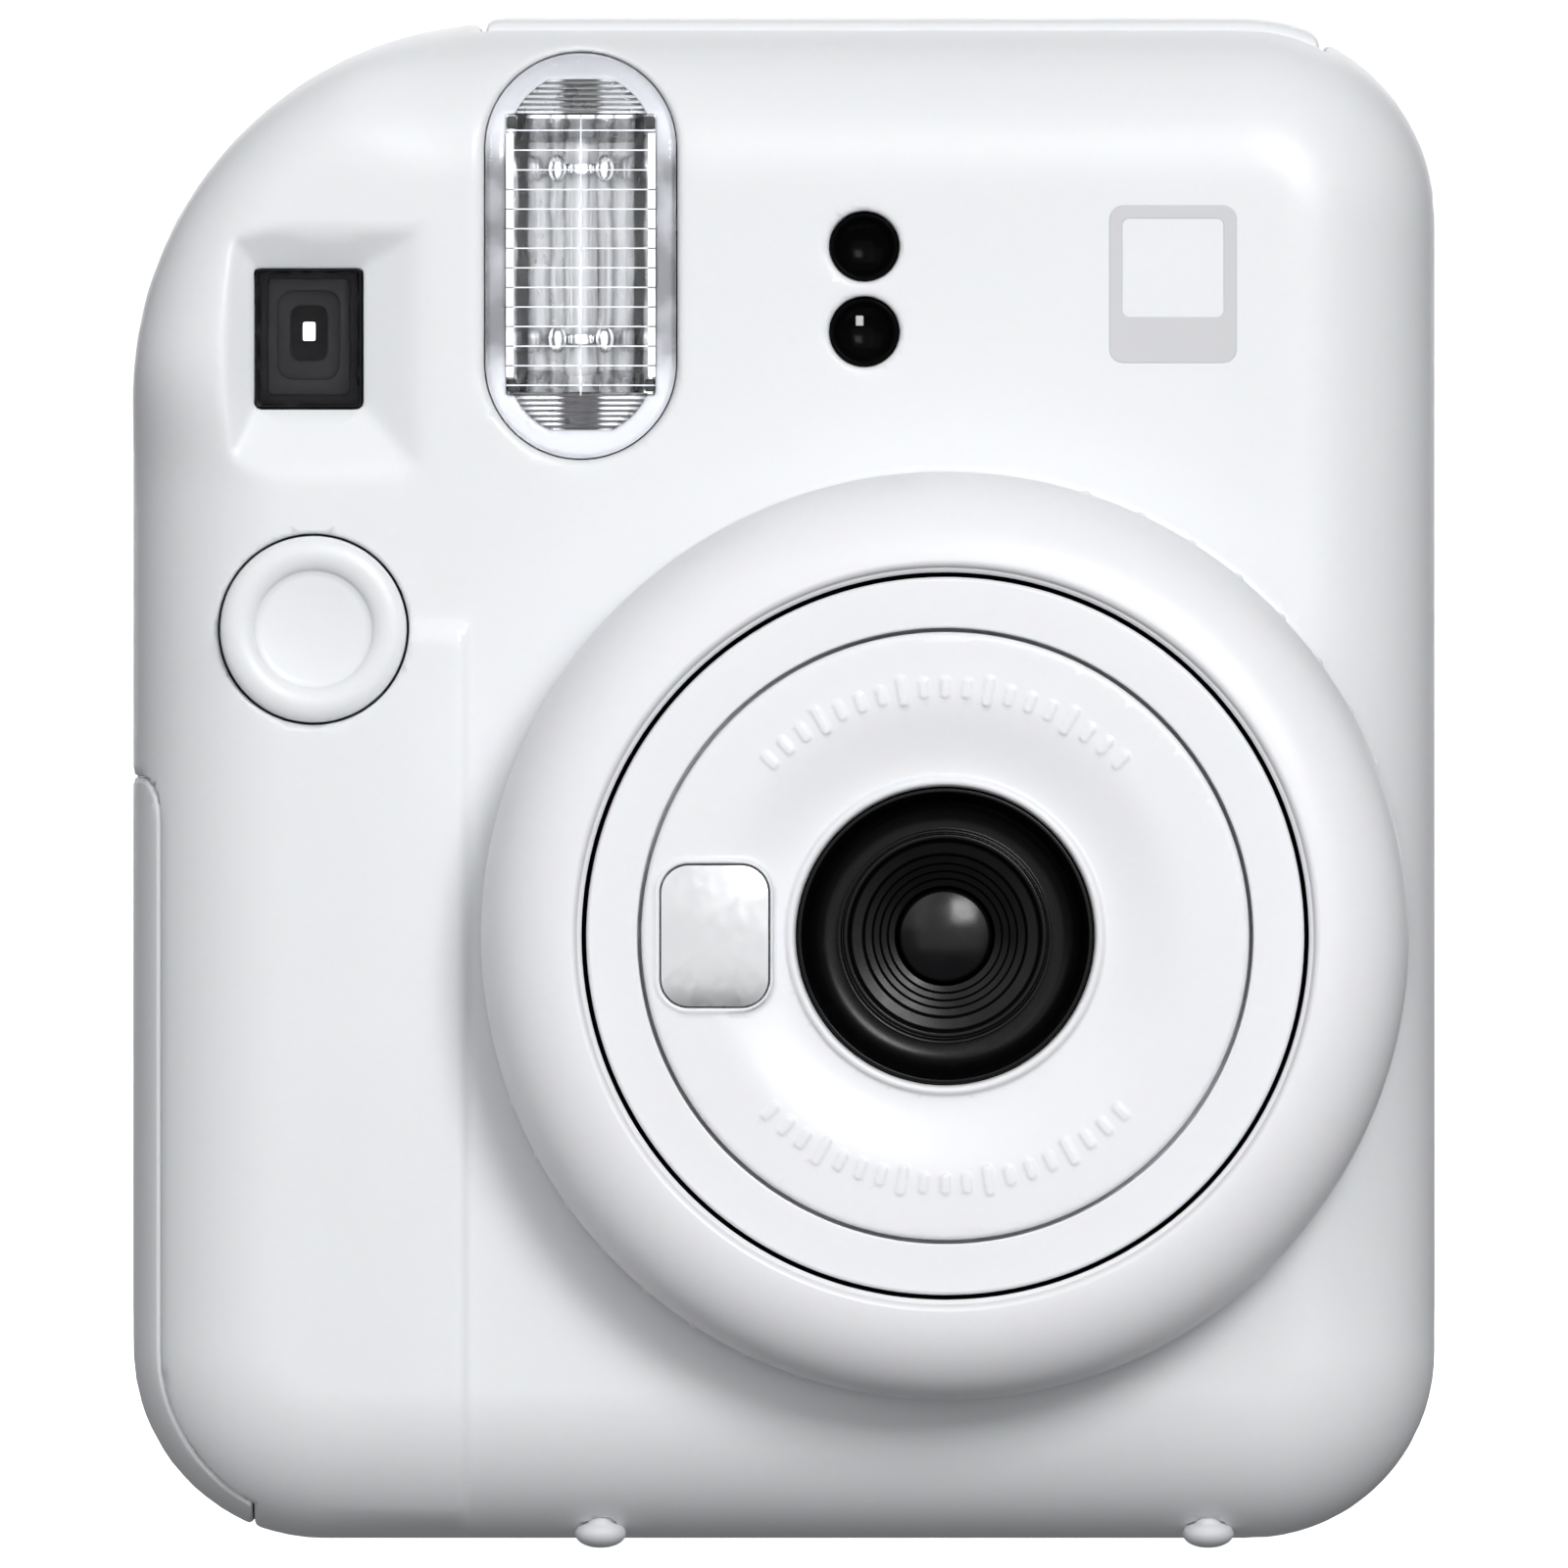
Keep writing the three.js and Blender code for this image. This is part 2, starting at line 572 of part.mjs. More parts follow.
function batteryDoor() {
  const { top, rear, hingeX } = BATTERY_DOOR;
  const edge = batteryDoorPin(1.2, 16, top);
  const stub = batteryDoorPin(0.6, top - 2, top + 1.5);
  const notch = rodX(3.2, -53, -51.2, -11, 42, 16);
  const skin = CASE_WALLS.intersect(batteryDoorSpace(0));
  const room = block(hingeX - 3, hingeX + 3, rear, rear + 3, -FAR, 16);
  return skin.subtract(room).add(edge).subtract(notch).add(stub);
}

function batteryCell(y) {
  const can = rodZ(BATTERY.radius, BATTERY.z0, BATTERY.z1, BATTERY.x, y, 24);
  return can.add(rodZ(2.7, BATTERY.z1 - 0.5, BATTERY.z1 + 1.2, BATTERY.x, y, 12));
}

function batteryTray() {
  return union([
    block(-33, -31.9, -11.4, 19.2, 7, 63),
    block(-46, -31.9, -11.4, 17, 62, 63),
    block(-42.5, -31.9, -11.4, 17, 7, 8),
  ]);
}

// ---- film path --------------------------------------------------------------------------------------

function darkBox() {
  const pyramid = (front, back, y0, y1) => {
    const frustum = new THREE.CylinderGeometry(back[0] * Math.SQRT1_2, front[0] * Math.SQRT1_2, y1 - y0, 4);
    frustum.rotateY(Math.PI / 4).scale(1, 1, back[1] / back[0]);
    return solid(frustum.translate(LENS_X, (y0 + y1) / 2, EXPOSURE.z));
  };
  const shell = pyramid([44, 44], [50, 66], 0.4, 11.7);
  return shell.subtract(pyramid([41, 41], [47, 63], 0.3, 11.8));
}

function filmChamber() {
  const { x0, x1, y0, y1, z0, z1 } = CHAMBER;
  const wall = CHAMBER_WALL;
  const doorCornerReach = 6;
  const tray = block(x0 - wall, x1 + wall, y0 - 1.4, y1, z0 - wall, z1 + 1.4)
    .subtract(block(x0, x1, y0, y1 + 1, z0, z1));
  const ears = [[x0 - wall, x0], [x1, x1 + wall]].map(([e0, e1]) => block(e0, e1, 5.5, 25, 103, 116));
  const holes = union([
    block(LENS_X - EXPOSURE.width / 2, LENS_X + EXPOSURE.width / 2, 0, y0 + 0.1,
      EXPOSURE.z - EXPOSURE.height / 2, EXPOSURE.z + EXPOSURE.height / 2),
    block(FILM_SLOT.x0, FILM_SLOT.x1, y0, 17, z1 - 1, z1 + 3),
    block(x0 - 3, x0 + 0.1, 23.3, 26.9, 13.5, 21),
    ...ROLLER_YS.map((y) => rodX(BEARING_RADIUS, -FAR, FAR, y, ROLLER_Z, 12)),
    rodZ(doorCornerReach, 0, 18, DOOR_HINGE.x, DOOR_HINGE.y),
  ]);
  const idlerStud = rodX(SHAFT_RADIUS, GEAR_X0 - 0.3, x0 - wall + 0.1, GEAR_Y, IDLER_Z, 12);
  return union([tray, ...ears]).intersect(WITHIN_CASE).subtract(holes).add(idlerStud);
}

// A spur gear about an axis along x, with one tooth's middle at the angle phase
function gear(teeth, phase, y, z, bore) {
  const pitchRadius = GEAR_MODULE * teeth / 2;
  const pitchAngle = 2 * Math.PI / teeth;
  const corners = [[-0.33, -1.1], [-0.14, 0.75], [0.14, 0.75], [0.33, -1.1]];
  const outline = Array.from({ length: teeth }, (_, i) => corners.map(([turn, height]) => {
    const angle = phase + (i + turn) * pitchAngle;
    const radius = pitchRadius + height * GEAR_MODULE;
    return new THREE.Vector2(y + radius * Math.cos(angle), z + radius * Math.sin(angle));
  })).flat();
  const wheel = prismX(new THREE.Shape(outline), GEAR_X0, GEAR_X1);
  return bore ? wheel.subtract(rodX(bore, -FAR, FAR, y, z, 12)) : wheel;
}

function filmRoller(y, phase) {
  const barrel = rodX(ROLLER_RADIUS, LENS_X - 27, LENS_X + 27, y, ROLLER_Z, 20);
  const shaft = rodX(SHAFT_RADIUS, GEAR_X0, 45.6, y, ROLLER_Z, 12);
  return union([barrel, shaft, gear(ROLLER_TEETH, phase, y, ROLLER_Z)]);
}

function filmMotor() {
  const can = rodX(6, -31.3, -23.9, GEAR_Y, PINION_Z, 20);
  return can.add(rodX(0.7, -24, GEAR_X1, GEAR_Y, PINION_Z, 8));
}

// The claw that pushes a sheet into the rollers
function filmPick() {
  const arm = block(-21.9, -20.3, 23.6, 26.6, 14, 64);
  return arm.add(block(-20.4, -18.4, 23.6, 26.6, 14, 17));
}

// ---- small fixed pieces -----------------------------------------------------------------------------

function strapLug() {
  const insert = lugSpace(0).intersect(caseSolid(0.2)).intersect(block(-FAR, FAR, 6.5, 15.5, 0, FAR));
  const slot = block(-FAR, -48.2, 8, 14, 94.7, 99.2);
  return insert.subtract(slot).add(rodZ(0.9, 94.2, 99.7, -50.4, 11, 10));
}

function foot(x, y) {
  const dome = turned([
    [0, 0], [1.1, 0.12], [1.7, 0.55], [FOOT_RADIUS, 1.4], [FOOT_RADIUS, 5], [0, 5],
  ].map(([radius, height]) => [radius, -height]), 12);
  const upright = new THREE.Matrix4().makeRotationX(-Math.PI / 2).setPosition(x, y, 0);
  return dome.transform(upright.toArray());
}

function caseScrew(x) {
  return rodZ(2.2, 1.2, 2.7, x, CASE_SCREW_Y, 12).add(rodZ(1.1, 2.6, 7.2, x, CASE_SCREW_Y, 8));
}

// ---- materials --------------------------------------------------------------------------------------

function material(color, roughness, metalness = 0) {
  return new THREE.MeshStandardMaterial({ color, roughness, metalness });
}

const WHITE = [0xf1f1f4, 0.45];
const BLACK = [0x161618, 0.35];
const METAL = [0xc8c8cc, 0.3, 1];
const GREY = [0x8b8e94, 0.6];
const CLEAR = [0xdfe5ea, 0.08];

// ---- assembly ---------------------------------------------------------------------------------------

const camera = new THREE.Group();
const lensUnit = new THREE.Group();
lensUnit.position.set(LENS_X, 0, LENS_Z);
const button = new THREE.Group();
button.position.set(BUTTON.x, 0, BUTTON.z);
camera.add(lensUnit, button);

function place(name, body, look, parent = camera) {
  const { numProp, vertProperties, triVerts } = body.getMesh();
  const geometry = new THREE.BufferGeometry();
  geometry.setAttribute('position', new THREE.BufferAttribute(new Float32Array(vertProperties), numProp));
  geometry.setIndex(new THREE.BufferAttribute(new Uint32Array(triVerts), 1));
  geometry.computeVertexNormals();
  const mesh = new THREE.Mesh(geometry, material(...look));
  mesh.name = name;
  parent.add(mesh);
  return mesh;
}

place('front_shell', frontShell(), WHITE);
place('rear_shell', rearShell(), WHITE);
place('top_cover', topCover(), WHITE);
place('strap_lug', strapLug(), GREY);
for (const [end, y] of Object.entries(FOOT_YS)) {
  for (const [side, x] of Object.entries(FOOT_XS)) {
    place(`foot_${end}_${side}`, foot(x, y), WHITE);
  }
}
for (const [side, x] of Object.entries(CASE_SCREWS)) {
  place(`case_screw_${side}`, caseScrew(x), METAL);
}

place('back_door', backDoor(), WHITE);
place('door_window', prismY(windowOutline(0), 31.1, BACK_PLANE - 0.2), CLEAR);
place('film_pressure_plate', pressurePlate(), BLACK);
place('hinge_pin_lower', rodZ(DOOR_HINGE.pin, 14, 27, DOOR_HINGE.x, DOOR_HINGE.y, 10), METAL);
place('hinge_pin_upper', rodZ(DOOR_HINGE.pin, 89, 102, DOOR_HINGE.x, DOOR_HINGE.y, 10), METAL);
place('door_latch', doorLatch(), WHITE);
place('counter_dial', counterDial(), BLACK);
place('counter_window', block(COUNTER.x - 1.8, COUNTER.x + 1.8, 31.2, 33.1, 42.8, 46.4), CLEAR);

place('twist_ring', twistRing(), WHITE, lensUnit);
place('ring_retainer', ringRetainer(), METAL, lensUnit);
place('barrel_guide', barrelGuide(), BLACK, lensUnit);
POST_ANGLES.slice(0, 2).forEach((angle, i) => {
  const screw = place(`guide_screw_${i + 1}`, guideScrew(), METAL, lensUnit);
  screw.position.set(POST_CIRCLE * Math.cos(angle), 0, POST_CIRCLE * Math.sin(angle));
});
place('lens_barrel', lensBarrel(), WHITE, lensUnit);
place('lens_front_plate', lensFrontPlate(), WHITE, lensUnit);
place('selfie_mirror', selfieMirror(), METAL, lensUnit);
place('lens_hood', lensHood(), BLACK, lensUnit);
place('front_lens', frontLens(), CLEAR, lensUnit);
place('shutter_plate', shutterPlate(), BLACK, lensUnit);
place('shutter_blade', shutterBlade(), METAL, lensUnit);

place('flash_window', flashWindow(), CLEAR);
place('flash_reflector', flashReflector(), METAL);
place('flash_tube', flashTube(), CLEAR);
place('flash_capacitor', rodZ(4.6, 25, 60, -24.9, 8, 20), BLACK);

place('viewfinder_window', finderBlock(FINDER.width, FINDER.height, 0.6, -16.1, -14.9), BLACK);
place('viewfinder_tube', finderTube(), BLACK);
place('viewfinder_lens', finderBlock(8.4, 10.4, 0.5, -6, -3.5), CLEAR);
place('eyepiece_frame', eyepieceFrame(), BLACK);
place('eyepiece_lens', finderBlock(9, 11.6, 1.2, 28.6, 30.3), CLEAR);
for (const [name, z] of Object.entries(SENSOR_ZS)) {
  place(name, rodY(SENSOR_RADIUS, FRONT_PLANE + 0.2, -15, SENSOR_X, z, 20), BLACK);
}

place('shutter_button', shutterButton(), WHITE, button);
place('shutter_switch', shutterSwitch(), BLACK);
place('button_board', block(-46.5, -29, -6.1, -4.7, 66, 81), GREY);
place('main_board', block(-31.4, -29.9, -11, 16, 10, 60), GREY);

place('battery_door', batteryDoor(), WHITE);
place('battery_tray', batteryTray(), BLACK);
place('battery_contact_upper', block(-45.5, -34, -9, 16, 60.9, 61.7), METAL);
place('battery_contact_lower', block(-42, -34, -9, 16, 8.3, 9.1), METAL);
BATTERY.ys.forEach((y, i) => place(['battery_front', 'battery_rear'][i], batteryCell(y), GREY));

place('dark_box', darkBox(), BLACK);
place('film_chamber', filmChamber(), BLACK);
place('film_roller_front', filmRoller(ROLLER_YS[0], Math.PI / ROLLER_TEETH), METAL);
place('film_roller_rear', filmRoller(ROLLER_YS[1], Math.PI), METAL);
place('idler_gear', gear(IDLER_TEETH, Math.PI / 2 + Math.PI / IDLER_TEETH, GEAR_Y, IDLER_Z, 1.5), WHITE);
place('motor_pinion', gear(PINION_TEETH, Math.PI / 2, GEAR_Y, PINION_Z, 1), WHITE);
place('film_motor', filmMotor(), METAL);
place('film_pick', filmPick(), METAL);

export default camera;
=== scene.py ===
"""Instant camera: detailed shells, lens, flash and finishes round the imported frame.

Shapes are worked out in millimetres in the row frame and turned into metres when a mesh is made.
Moulded pieces are distance fields: a field is negative inside the piece, and its zero surface is meshed.
"""
import functools
import math

import bmesh
import bpy
import numpy as np
import openvdb
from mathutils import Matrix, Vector


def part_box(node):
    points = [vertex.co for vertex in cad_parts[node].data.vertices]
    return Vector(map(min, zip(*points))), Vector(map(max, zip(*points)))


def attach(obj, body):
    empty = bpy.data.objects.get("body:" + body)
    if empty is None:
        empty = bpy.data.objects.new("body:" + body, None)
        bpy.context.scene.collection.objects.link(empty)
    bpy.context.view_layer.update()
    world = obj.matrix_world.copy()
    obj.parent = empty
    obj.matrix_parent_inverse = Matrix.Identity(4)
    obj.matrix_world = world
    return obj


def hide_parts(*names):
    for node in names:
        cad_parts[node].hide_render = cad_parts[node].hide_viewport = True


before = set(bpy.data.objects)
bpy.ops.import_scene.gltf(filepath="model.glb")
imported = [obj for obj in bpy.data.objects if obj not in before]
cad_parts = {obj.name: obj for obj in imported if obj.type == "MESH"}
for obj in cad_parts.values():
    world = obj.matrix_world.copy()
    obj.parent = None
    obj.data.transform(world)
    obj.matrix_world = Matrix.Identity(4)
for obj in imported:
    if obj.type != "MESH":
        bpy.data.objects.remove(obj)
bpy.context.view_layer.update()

MM = 0.001


def mm_box(node):
    """Lowest and highest corner of a CAD node, in millimetres."""
    low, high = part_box(node)
    return np.array(low) / MM, np.array(high) / MM


def middle(node):
    low, high = mm_box(node)
    return (low + high) / 2


# ---- driving dimensions ----

# Past the object on either side, for shapes that are open at one end.
FAR = 100.0
WALL = 2.4
SEAM = 0.26
SPLIT_Y = 4.0
SOFT_EDGE = 0.9
COVER_RISE = 0.4
EDGE_FILLET = 12.0
FINDER_FILLET_CUT = 4.5
CORNER_RADII = {"top_left": 30.0, "top_right": 15.7, "bottom_right": 14.9, "bottom_left": 15.3}

REAR_LOW, REAR_HIGH = mm_box("rear_shell")
HALF_WIDTH = REAR_HIGH[0]
CASE_BOTTOM = REAR_LOW[2]
BACK_PLANE = REAR_HIGH[1]
CASE_TOP = mm_box("top_cover")[1][2] - COVER_RISE
FRONT_PLANE = mm_box("flash_window")[0][1]
INNER_FRONT = FRONT_PLANE + WALL
INNER_BACK = BACK_PLANE - WALL

LENS_X, _, LENS_Z = middle("twist_ring")
RING_LOW, RING_HIGH = mm_box("twist_ring")
RING_RADIUS = (RING_HIGH[0] - RING_LOW[0]) / 2
RING_FRONT = RING_LOW[1]
RING_BORE = 28.88
RING_SHOULDER = 7.6
GRIP_BUMP_RADIUS = 0.55
PLINTH_FRONT = mm_box("front_shell")[0][1]
BARREL_RADIUS = 28.52
PLATE_RADIUS = 24.15
PLATE_BORE = 24.46
PLATE_FRONT = mm_box("lens_front_plate")[0][1]
TICK_RADIUS = 19.7
HOOD_MOUTH = 11.75

FLASH_LOW, FLASH_HIGH = mm_box("flash_window")
FLASH_X, _, FLASH_Z = (FLASH_LOW + FLASH_HIGH) / 2
FLASH_WIDTH, _, FLASH_HEIGHT = FLASH_HIGH - FLASH_LOW
MOUTH_WIDTH, MOUTH_HEIGHT = 11.9, 22.3
RIB_PITCH, RIB_REACH = 0.42, FLASH_HEIGHT / 2 - 2.3
LINE_PITCH, LINE_WIDTH = 1.56, 0.09
# The two pale side bars are painted highlights of the reflector's bright edges.
SIDE_BAR_X, SIDE_BAR_WIDTH, SIDE_BAR_REACH = 5.65, 0.6, 9.7
FINDER_X, _, FINDER_Z = middle("viewfinder_window")
FINDER_WIDTH, _, FINDER_HEIGHT = mm_box("viewfinder_window")[1] - mm_box("viewfinder_window")[0]
FINDER_DEPTH = 2.0
SENSORS = ("light_meter_window", "flash_sensor_window")
SENSOR_RADIUS = 2.72
SENSOR_DROP = 0.3
BUTTON_X, _, BUTTON_Z = middle("shutter_switch")
BUTTON_RADIUS = 7.46
SCREW_HEAD_LOW, SCREW_HEAD_HIGH = 2.0, 2.95
FOOT_NECK = 1.2

DOOR_LOW, DOOR_HIGH = mm_box("back_door")
DOOR_LEFT, DOOR_RIGHT = DOOR_LOW[0], 45.3
HINGE_X, HINGE_Y, _ = middle("hinge_pin_lower")
HINGE_RADIUS = 2.0
KNUCKLES = {"door": ((14.0, 19.3), (96.7, 102.0)), "case": ((19.7, 27.0), (89.0, 96.3))}
WINDOW_X, _, WINDOW_Z = middle("door_window")
LATCH_X, LATCH_Z = mm_box("door_latch")[0][0] + 2.3, middle("door_latch")[2]
COUNTER_X, _, COUNTER_Z = middle("counter_window")

BATTERY_DOOR_TOP = 61.5
BATTERY_DOOR_FRONT, BATTERY_DOOR_REAR = -13.5, 17.5
BATTERY_DOOR_INNER = mm_box("battery_door")[1][0]
BATTERY_HINGE_X = -50.8


# ---- distance fields ----

class Grid:
    """Sample points that fill a box, with x, y and z shaped so that they broadcast together."""

    def __init__(self, low, high, voxel):
        voxel = voxel * 1.0
        self.voxel = voxel
        self.low = np.array(low, float) - 4 * voxel
        counts = np.ceil((np.array(high, float) + 4 * voxel - self.low) / voxel).astype(int) + 1
        axes = [(self.low[i] + voxel * np.arange(counts[i])).astype(np.float32) for i in range(3)]
        self.shape = tuple(counts)
        self.x = axes[0][:, None, None]
        self.y = axes[1][None, :, None]
        self.z = axes[2][None, None, :]


def common(a, b, soft=0.0):
    """What two shapes share, with the edge between them rounded by about soft."""
    largest = np.maximum(a, b)
    if soft == 0:
        return largest
    overlap = np.maximum(soft - np.abs(a - b), 0)
    return largest + overlap * overlap / (4 * soft)


def carve(a, b, soft=0.0):
    return common(a, -b, soft)


def join(a, b, soft=0.0):
    return -common(-a, -b, soft)


def together(fields):
    return functools.reduce(np.minimum, fields)


def slab(t, low, high):
    return np.maximum(low - t, t - high)


def ease(t, height=1.0):
    """A soft step from 0 to height while t goes from 0 to 1."""
    t = np.clip(t, 0, 1)
    return height * t * t * (3 - 2 * t)


def rectangle(u, v, center, size, radius):
    """Distance to a rounded rectangle in the plane of u and v."""
    qu = np.abs(u - center[0]) - size[0] / 2 + radius
    qv = np.abs(v - center[1]) - size[1] / 2 + radius
    return np.hypot(np.maximum(qu, 0), np.maximum(qv, 0)) + np.minimum(np.maximum(qu, qv), 0) - radius


def circle(u, v, center, radius):
    return np.hypot(u - center[0], v - center[1]) - radius


def block(g, low, high, radius=0.0):
    """Distance to a box with rounded edges."""
    total, deepest = 0.0, None
    for axis, a, b in zip((g.x, g.y, g.z), low, high):
        q = np.abs(axis - (a + b) / 2) - (b - a) / 2 + radius
        total = total + np.maximum(q, 0) ** 2
        deepest = q if deepest is None else np.maximum(deepest, q)
    return np.sqrt(total) + np.minimum(deepest, 0) - radius


def panel(g, center, size, radius, low=-FAR, high=FAR):
    """A rounded rectangle seen from the front, between two depths."""
    return common(rectangle(g.x, g.z, center, size, radius), slab(g.y, low, high))


def disc(g, center, radius, low=-FAR, high=FAR):
    """A circle seen from the front, between two depths."""
    return common(circle(g.x, g.z, center, radius), slab(g.y, low, high))


def upright(g, center, radius, low=-FAR, high=FAR):
    """A round rod along z, between two heights."""
    return common(circle(g.x, g.y, center, radius), slab(g.z, low, high))


def case_outline(x, z):
    """Distance to the case's outline seen from the front, whose four corners differ."""
    cx, cz = 0.0, (CASE_TOP + CASE_BOTTOM) / 2
    top = np.where(x > cx, CORNER_RADII["top_right"], CORNER_RADII["top_left"])
    bottom = np.where(x > cx, CORNER_RADII["bottom_right"], CORNER_RADII["bottom_left"])
    radius = np.where(z > cz, top, bottom).astype(np.float32)
    return rectangle(x, z, (cx, cz), (2 * HALF_WIDTH, CASE_TOP - CASE_BOTTOM), radius)


def edge_fillet(x, z):
    """The edge rounding is tighter at the top left corner, so the front stays flat round the viewfinder."""
    leftwards, upwards = (-26 - x) / 10, (z - 84) / 12
    return EDGE_FILLET - FINDER_FILLET_CUT * ease(upwards, ease(leftwards))


def case_solid(g):
    """Distance to the closed case, whose front and back edges are rounded all the way round."""
    fillet = edge_fillet(g.x, g.z)
    around = case_outline(g.x, g.z) + fillet
    center_y, half_depth = (FRONT_PLANE + BACK_PLANE) / 2, (BACK_PLANE - FRONT_PLANE) / 2
    along = np.abs(g.y - center_y) - half_depth + fillet
    outside = np.hypot(np.maximum(around, 0), np.maximum(along, 0))
    return outside + np.minimum(np.maximum(around, along), 0) - fillet


def flash_outline(g, margin):
    width = FLASH_WIDTH + 2 * margin
    size = (width, FLASH_HEIGHT + 2 * margin)
    return rectangle(g.x, g.z, (FLASH_X, FLASH_Z), size, width / 2)


def finder_recess(g):
    """The soft pyramid that leads down to the viewfinder's window: (direction, width of that slope)."""
    left, right = FINDER_X - FINDER_WIDTH / 2, FINDER_X + FINDER_WIDTH / 2
    low, high = FINDER_Z - FINDER_HEIGHT / 2, FINDER_Z + FINDER_HEIGHT / 2
    rise = FRONT_PLANE + FINDER_DEPTH - g.y
    slopes = [(left - g.x, 2.4), (g.x - right, 4.6), (low - g.z, 5.2), (g.z - high, 3.0)]
    walls = [(beyond * FINDER_DEPTH - rise * width) / math.hypot(width, FINDER_DEPTH)
             for beyond, width in slopes]
    pyramid = functools.reduce(lambda a, b: common(a, b, 0.35), walls)
    return common(pyramid, g.y - FRONT_PLANE - FINDER_DEPTH)


def battery_door_space(g, margin):
    """Where the battery door goes: the lower part of the grip's side, with a slanting front edge."""
    corner, reach = 3.8, 60.0
    front, rear = BATTERY_DOOR_FRONT, BATTERY_DOOR_REAR
    center = ((front + reach) / 2, BATTERY_DOOR_TOP / 2 - reach)
    side = rectangle(g.y, g.z, center, (reach - front, BATTERY_DOOR_TOP + 2 * reach), corner)
    slant = ((g.x + 50) * 1.5 - (g.y - front) * 7.6) / math.hypot(1.5, 7.6)
    front_edge = common(side, slant, 2.0)
    return common(common(front_edge, g.y - rear), g.x - BATTERY_DOOR_INNER) - margin


def cover_space(g, margin):
    low, high = mm_box("top_cover")
    return block(g, (low[0] - margin, low[1] - margin, 100), (high[0] + margin, high[1] + margin, 140))


def foot_holes(g, row):
    return together([upright(g, middle(f"foot_{row}_{side}"), 1.25, -FAR, 6) for side in ("left", "right")])


# ---- meshes ----

def sample(values, index):
    """The field between its sample points, at positions counted in voxels."""
    limit = np.array(values.shape) - 2
    base = np.clip(np.floor(index).astype(int), 0, limit)
    part = index - base
    result = np.zeros(len(index))
    for corner in range(8):
        shift = np.array([corner & 1, corner >> 1 & 1, corner >> 2 & 1])
        weight = np.prod(np.where(shift, part, 1 - part), axis=1)
        at = base + shift
        result += weight * values[at[:, 0], at[:, 1], at[:, 2]]
    return result


def surface_normals(values, index):
    steps = np.eye(3) * 0.6
    slope = np.stack([sample(values, index + step) - sample(values, index - step) for step in steps], axis=1)
    return slope / np.maximum(np.linalg.norm(slope, axis=1, keepdims=True), 1e-9)


def polygon_mesh(name, points, faces):
    """A mesh from points and a list of equal-sided face arrays."""
    mesh = bpy.data.meshes.new(name)
    mesh.vertices.add(len(points))
    mesh.vertices.foreach_set("co", (points * MM).astype(np.float32).ravel())
    loops = np.concatenate([face.ravel() for face in faces]).astype(np.int32)
    sides = np.concatenate([np.full(len(face), face.shape[1]) for face in faces])
    mesh.loops.add(len(loops))
    mesh.loops.foreach_set("vertex_index", loops)
    mesh.polygons.add(len(sides))
    starts = np.concatenate([[0], np.cumsum(sides)[:-1]]).astype(np.int32)
    mesh.polygons.foreach_set("loop_start", starts)
    mesh.update(calc_edges=True)
    mesh.validate()
    return mesh


def mesh_from(bm, name, smooth=True):
    """Ends a bmesh and gives its mesh."""
    for face in bm.faces:
        face.smooth = smooth
    mesh = bpy.data.meshes.new(name)
    bm.to_mesh(mesh)
    bm.free()
    return mesh


def add_piece(name, mesh, look, slot=None, body="case"):
    """A piece with a finish from LOOKS. A piece that is given a CAD node's name stands in for that node."""
    stands_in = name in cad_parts
    piece = bpy.data.objects.new(f"visual_{name}" if stands_in else name, mesh)
    bpy.context.scene.collection.objects.link(piece)
    mesh.materials.append(LOOKS[look])
    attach(piece, body)
    if stands_in:
        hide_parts(name)
    return piece


def moulded(name, g, values, look, **place):
    """A piece from a distance field, with the field's own slope as its smooth normals."""
    values = np.ascontiguousarray(np.broadcast_to(values, g.shape), dtype=np.float32)
    band = 3 * g.voxel
    volume = openvdb.FloatGrid(band)
    volume.copyFromArray(np.clip(values, -band, band))
    points, triangles, quads = volume.convertToPolygons(isovalue=0.0, adaptivity=0.02)
    points = np.asarray(points, float)
    faces = [np.asarray(face) for face in (triangles, quads) if len(face)]
    mesh = polygon_mesh(name, points * g.voxel + g.low, faces)
    mesh.polygons.foreach_set("use_smooth", np.ones(len(mesh.polygons), bool))
    normals = surface_normals(values, points)
    mesh.normals_split_custom_set_from_vertices([tuple(n) for n in normals])
    return add_piece(name, mesh, look, **place)


def rounded(corners, steps=4):
    """A profile from (radius, y, edge rounding) corners, each rounded corner becoming a short arc."""
    points = []
    count = len(corners)
    for i, (r, y, fillet) in enumerate(corners):
        here = np.array([r, y])
        if fillet == 0:
            points.append(here)
            continue
        before = np.array(corners[i - 1][:2]) - here
        after = np.array(corners[(i + 1) % count][:2]) - here
        before, after = before / np.linalg.norm(before), after / np.linalg.norm(after)
        half = math.acos(np.clip(before @ after, -1, 1)) / 2
        reach = fillet / math.tan(half)
        center = here + (before + after) / np.linalg.norm(before + after) * fillet / math.sin(half)
        start, end = here + before * reach - center, here + after * reach - center
        turn = math.atan2(start[0] * end[1] - start[1] * end[0], start @ end)
        for step in range(steps + 1):
            angle = turn * step / steps
            cos, sin = math.cos(angle), math.sin(angle)
            points.append(center + [start[0] * cos - start[1] * sin, start[0] * sin + start[1] * cos])
    return points


def arc(center, radius, start, end, steps):
    angles = np.radians(np.linspace(start, end, steps + 1))
    return [np.array([center[0] + radius * math.cos(a), center[1] + radius * math.sin(a)]) for a in angles]


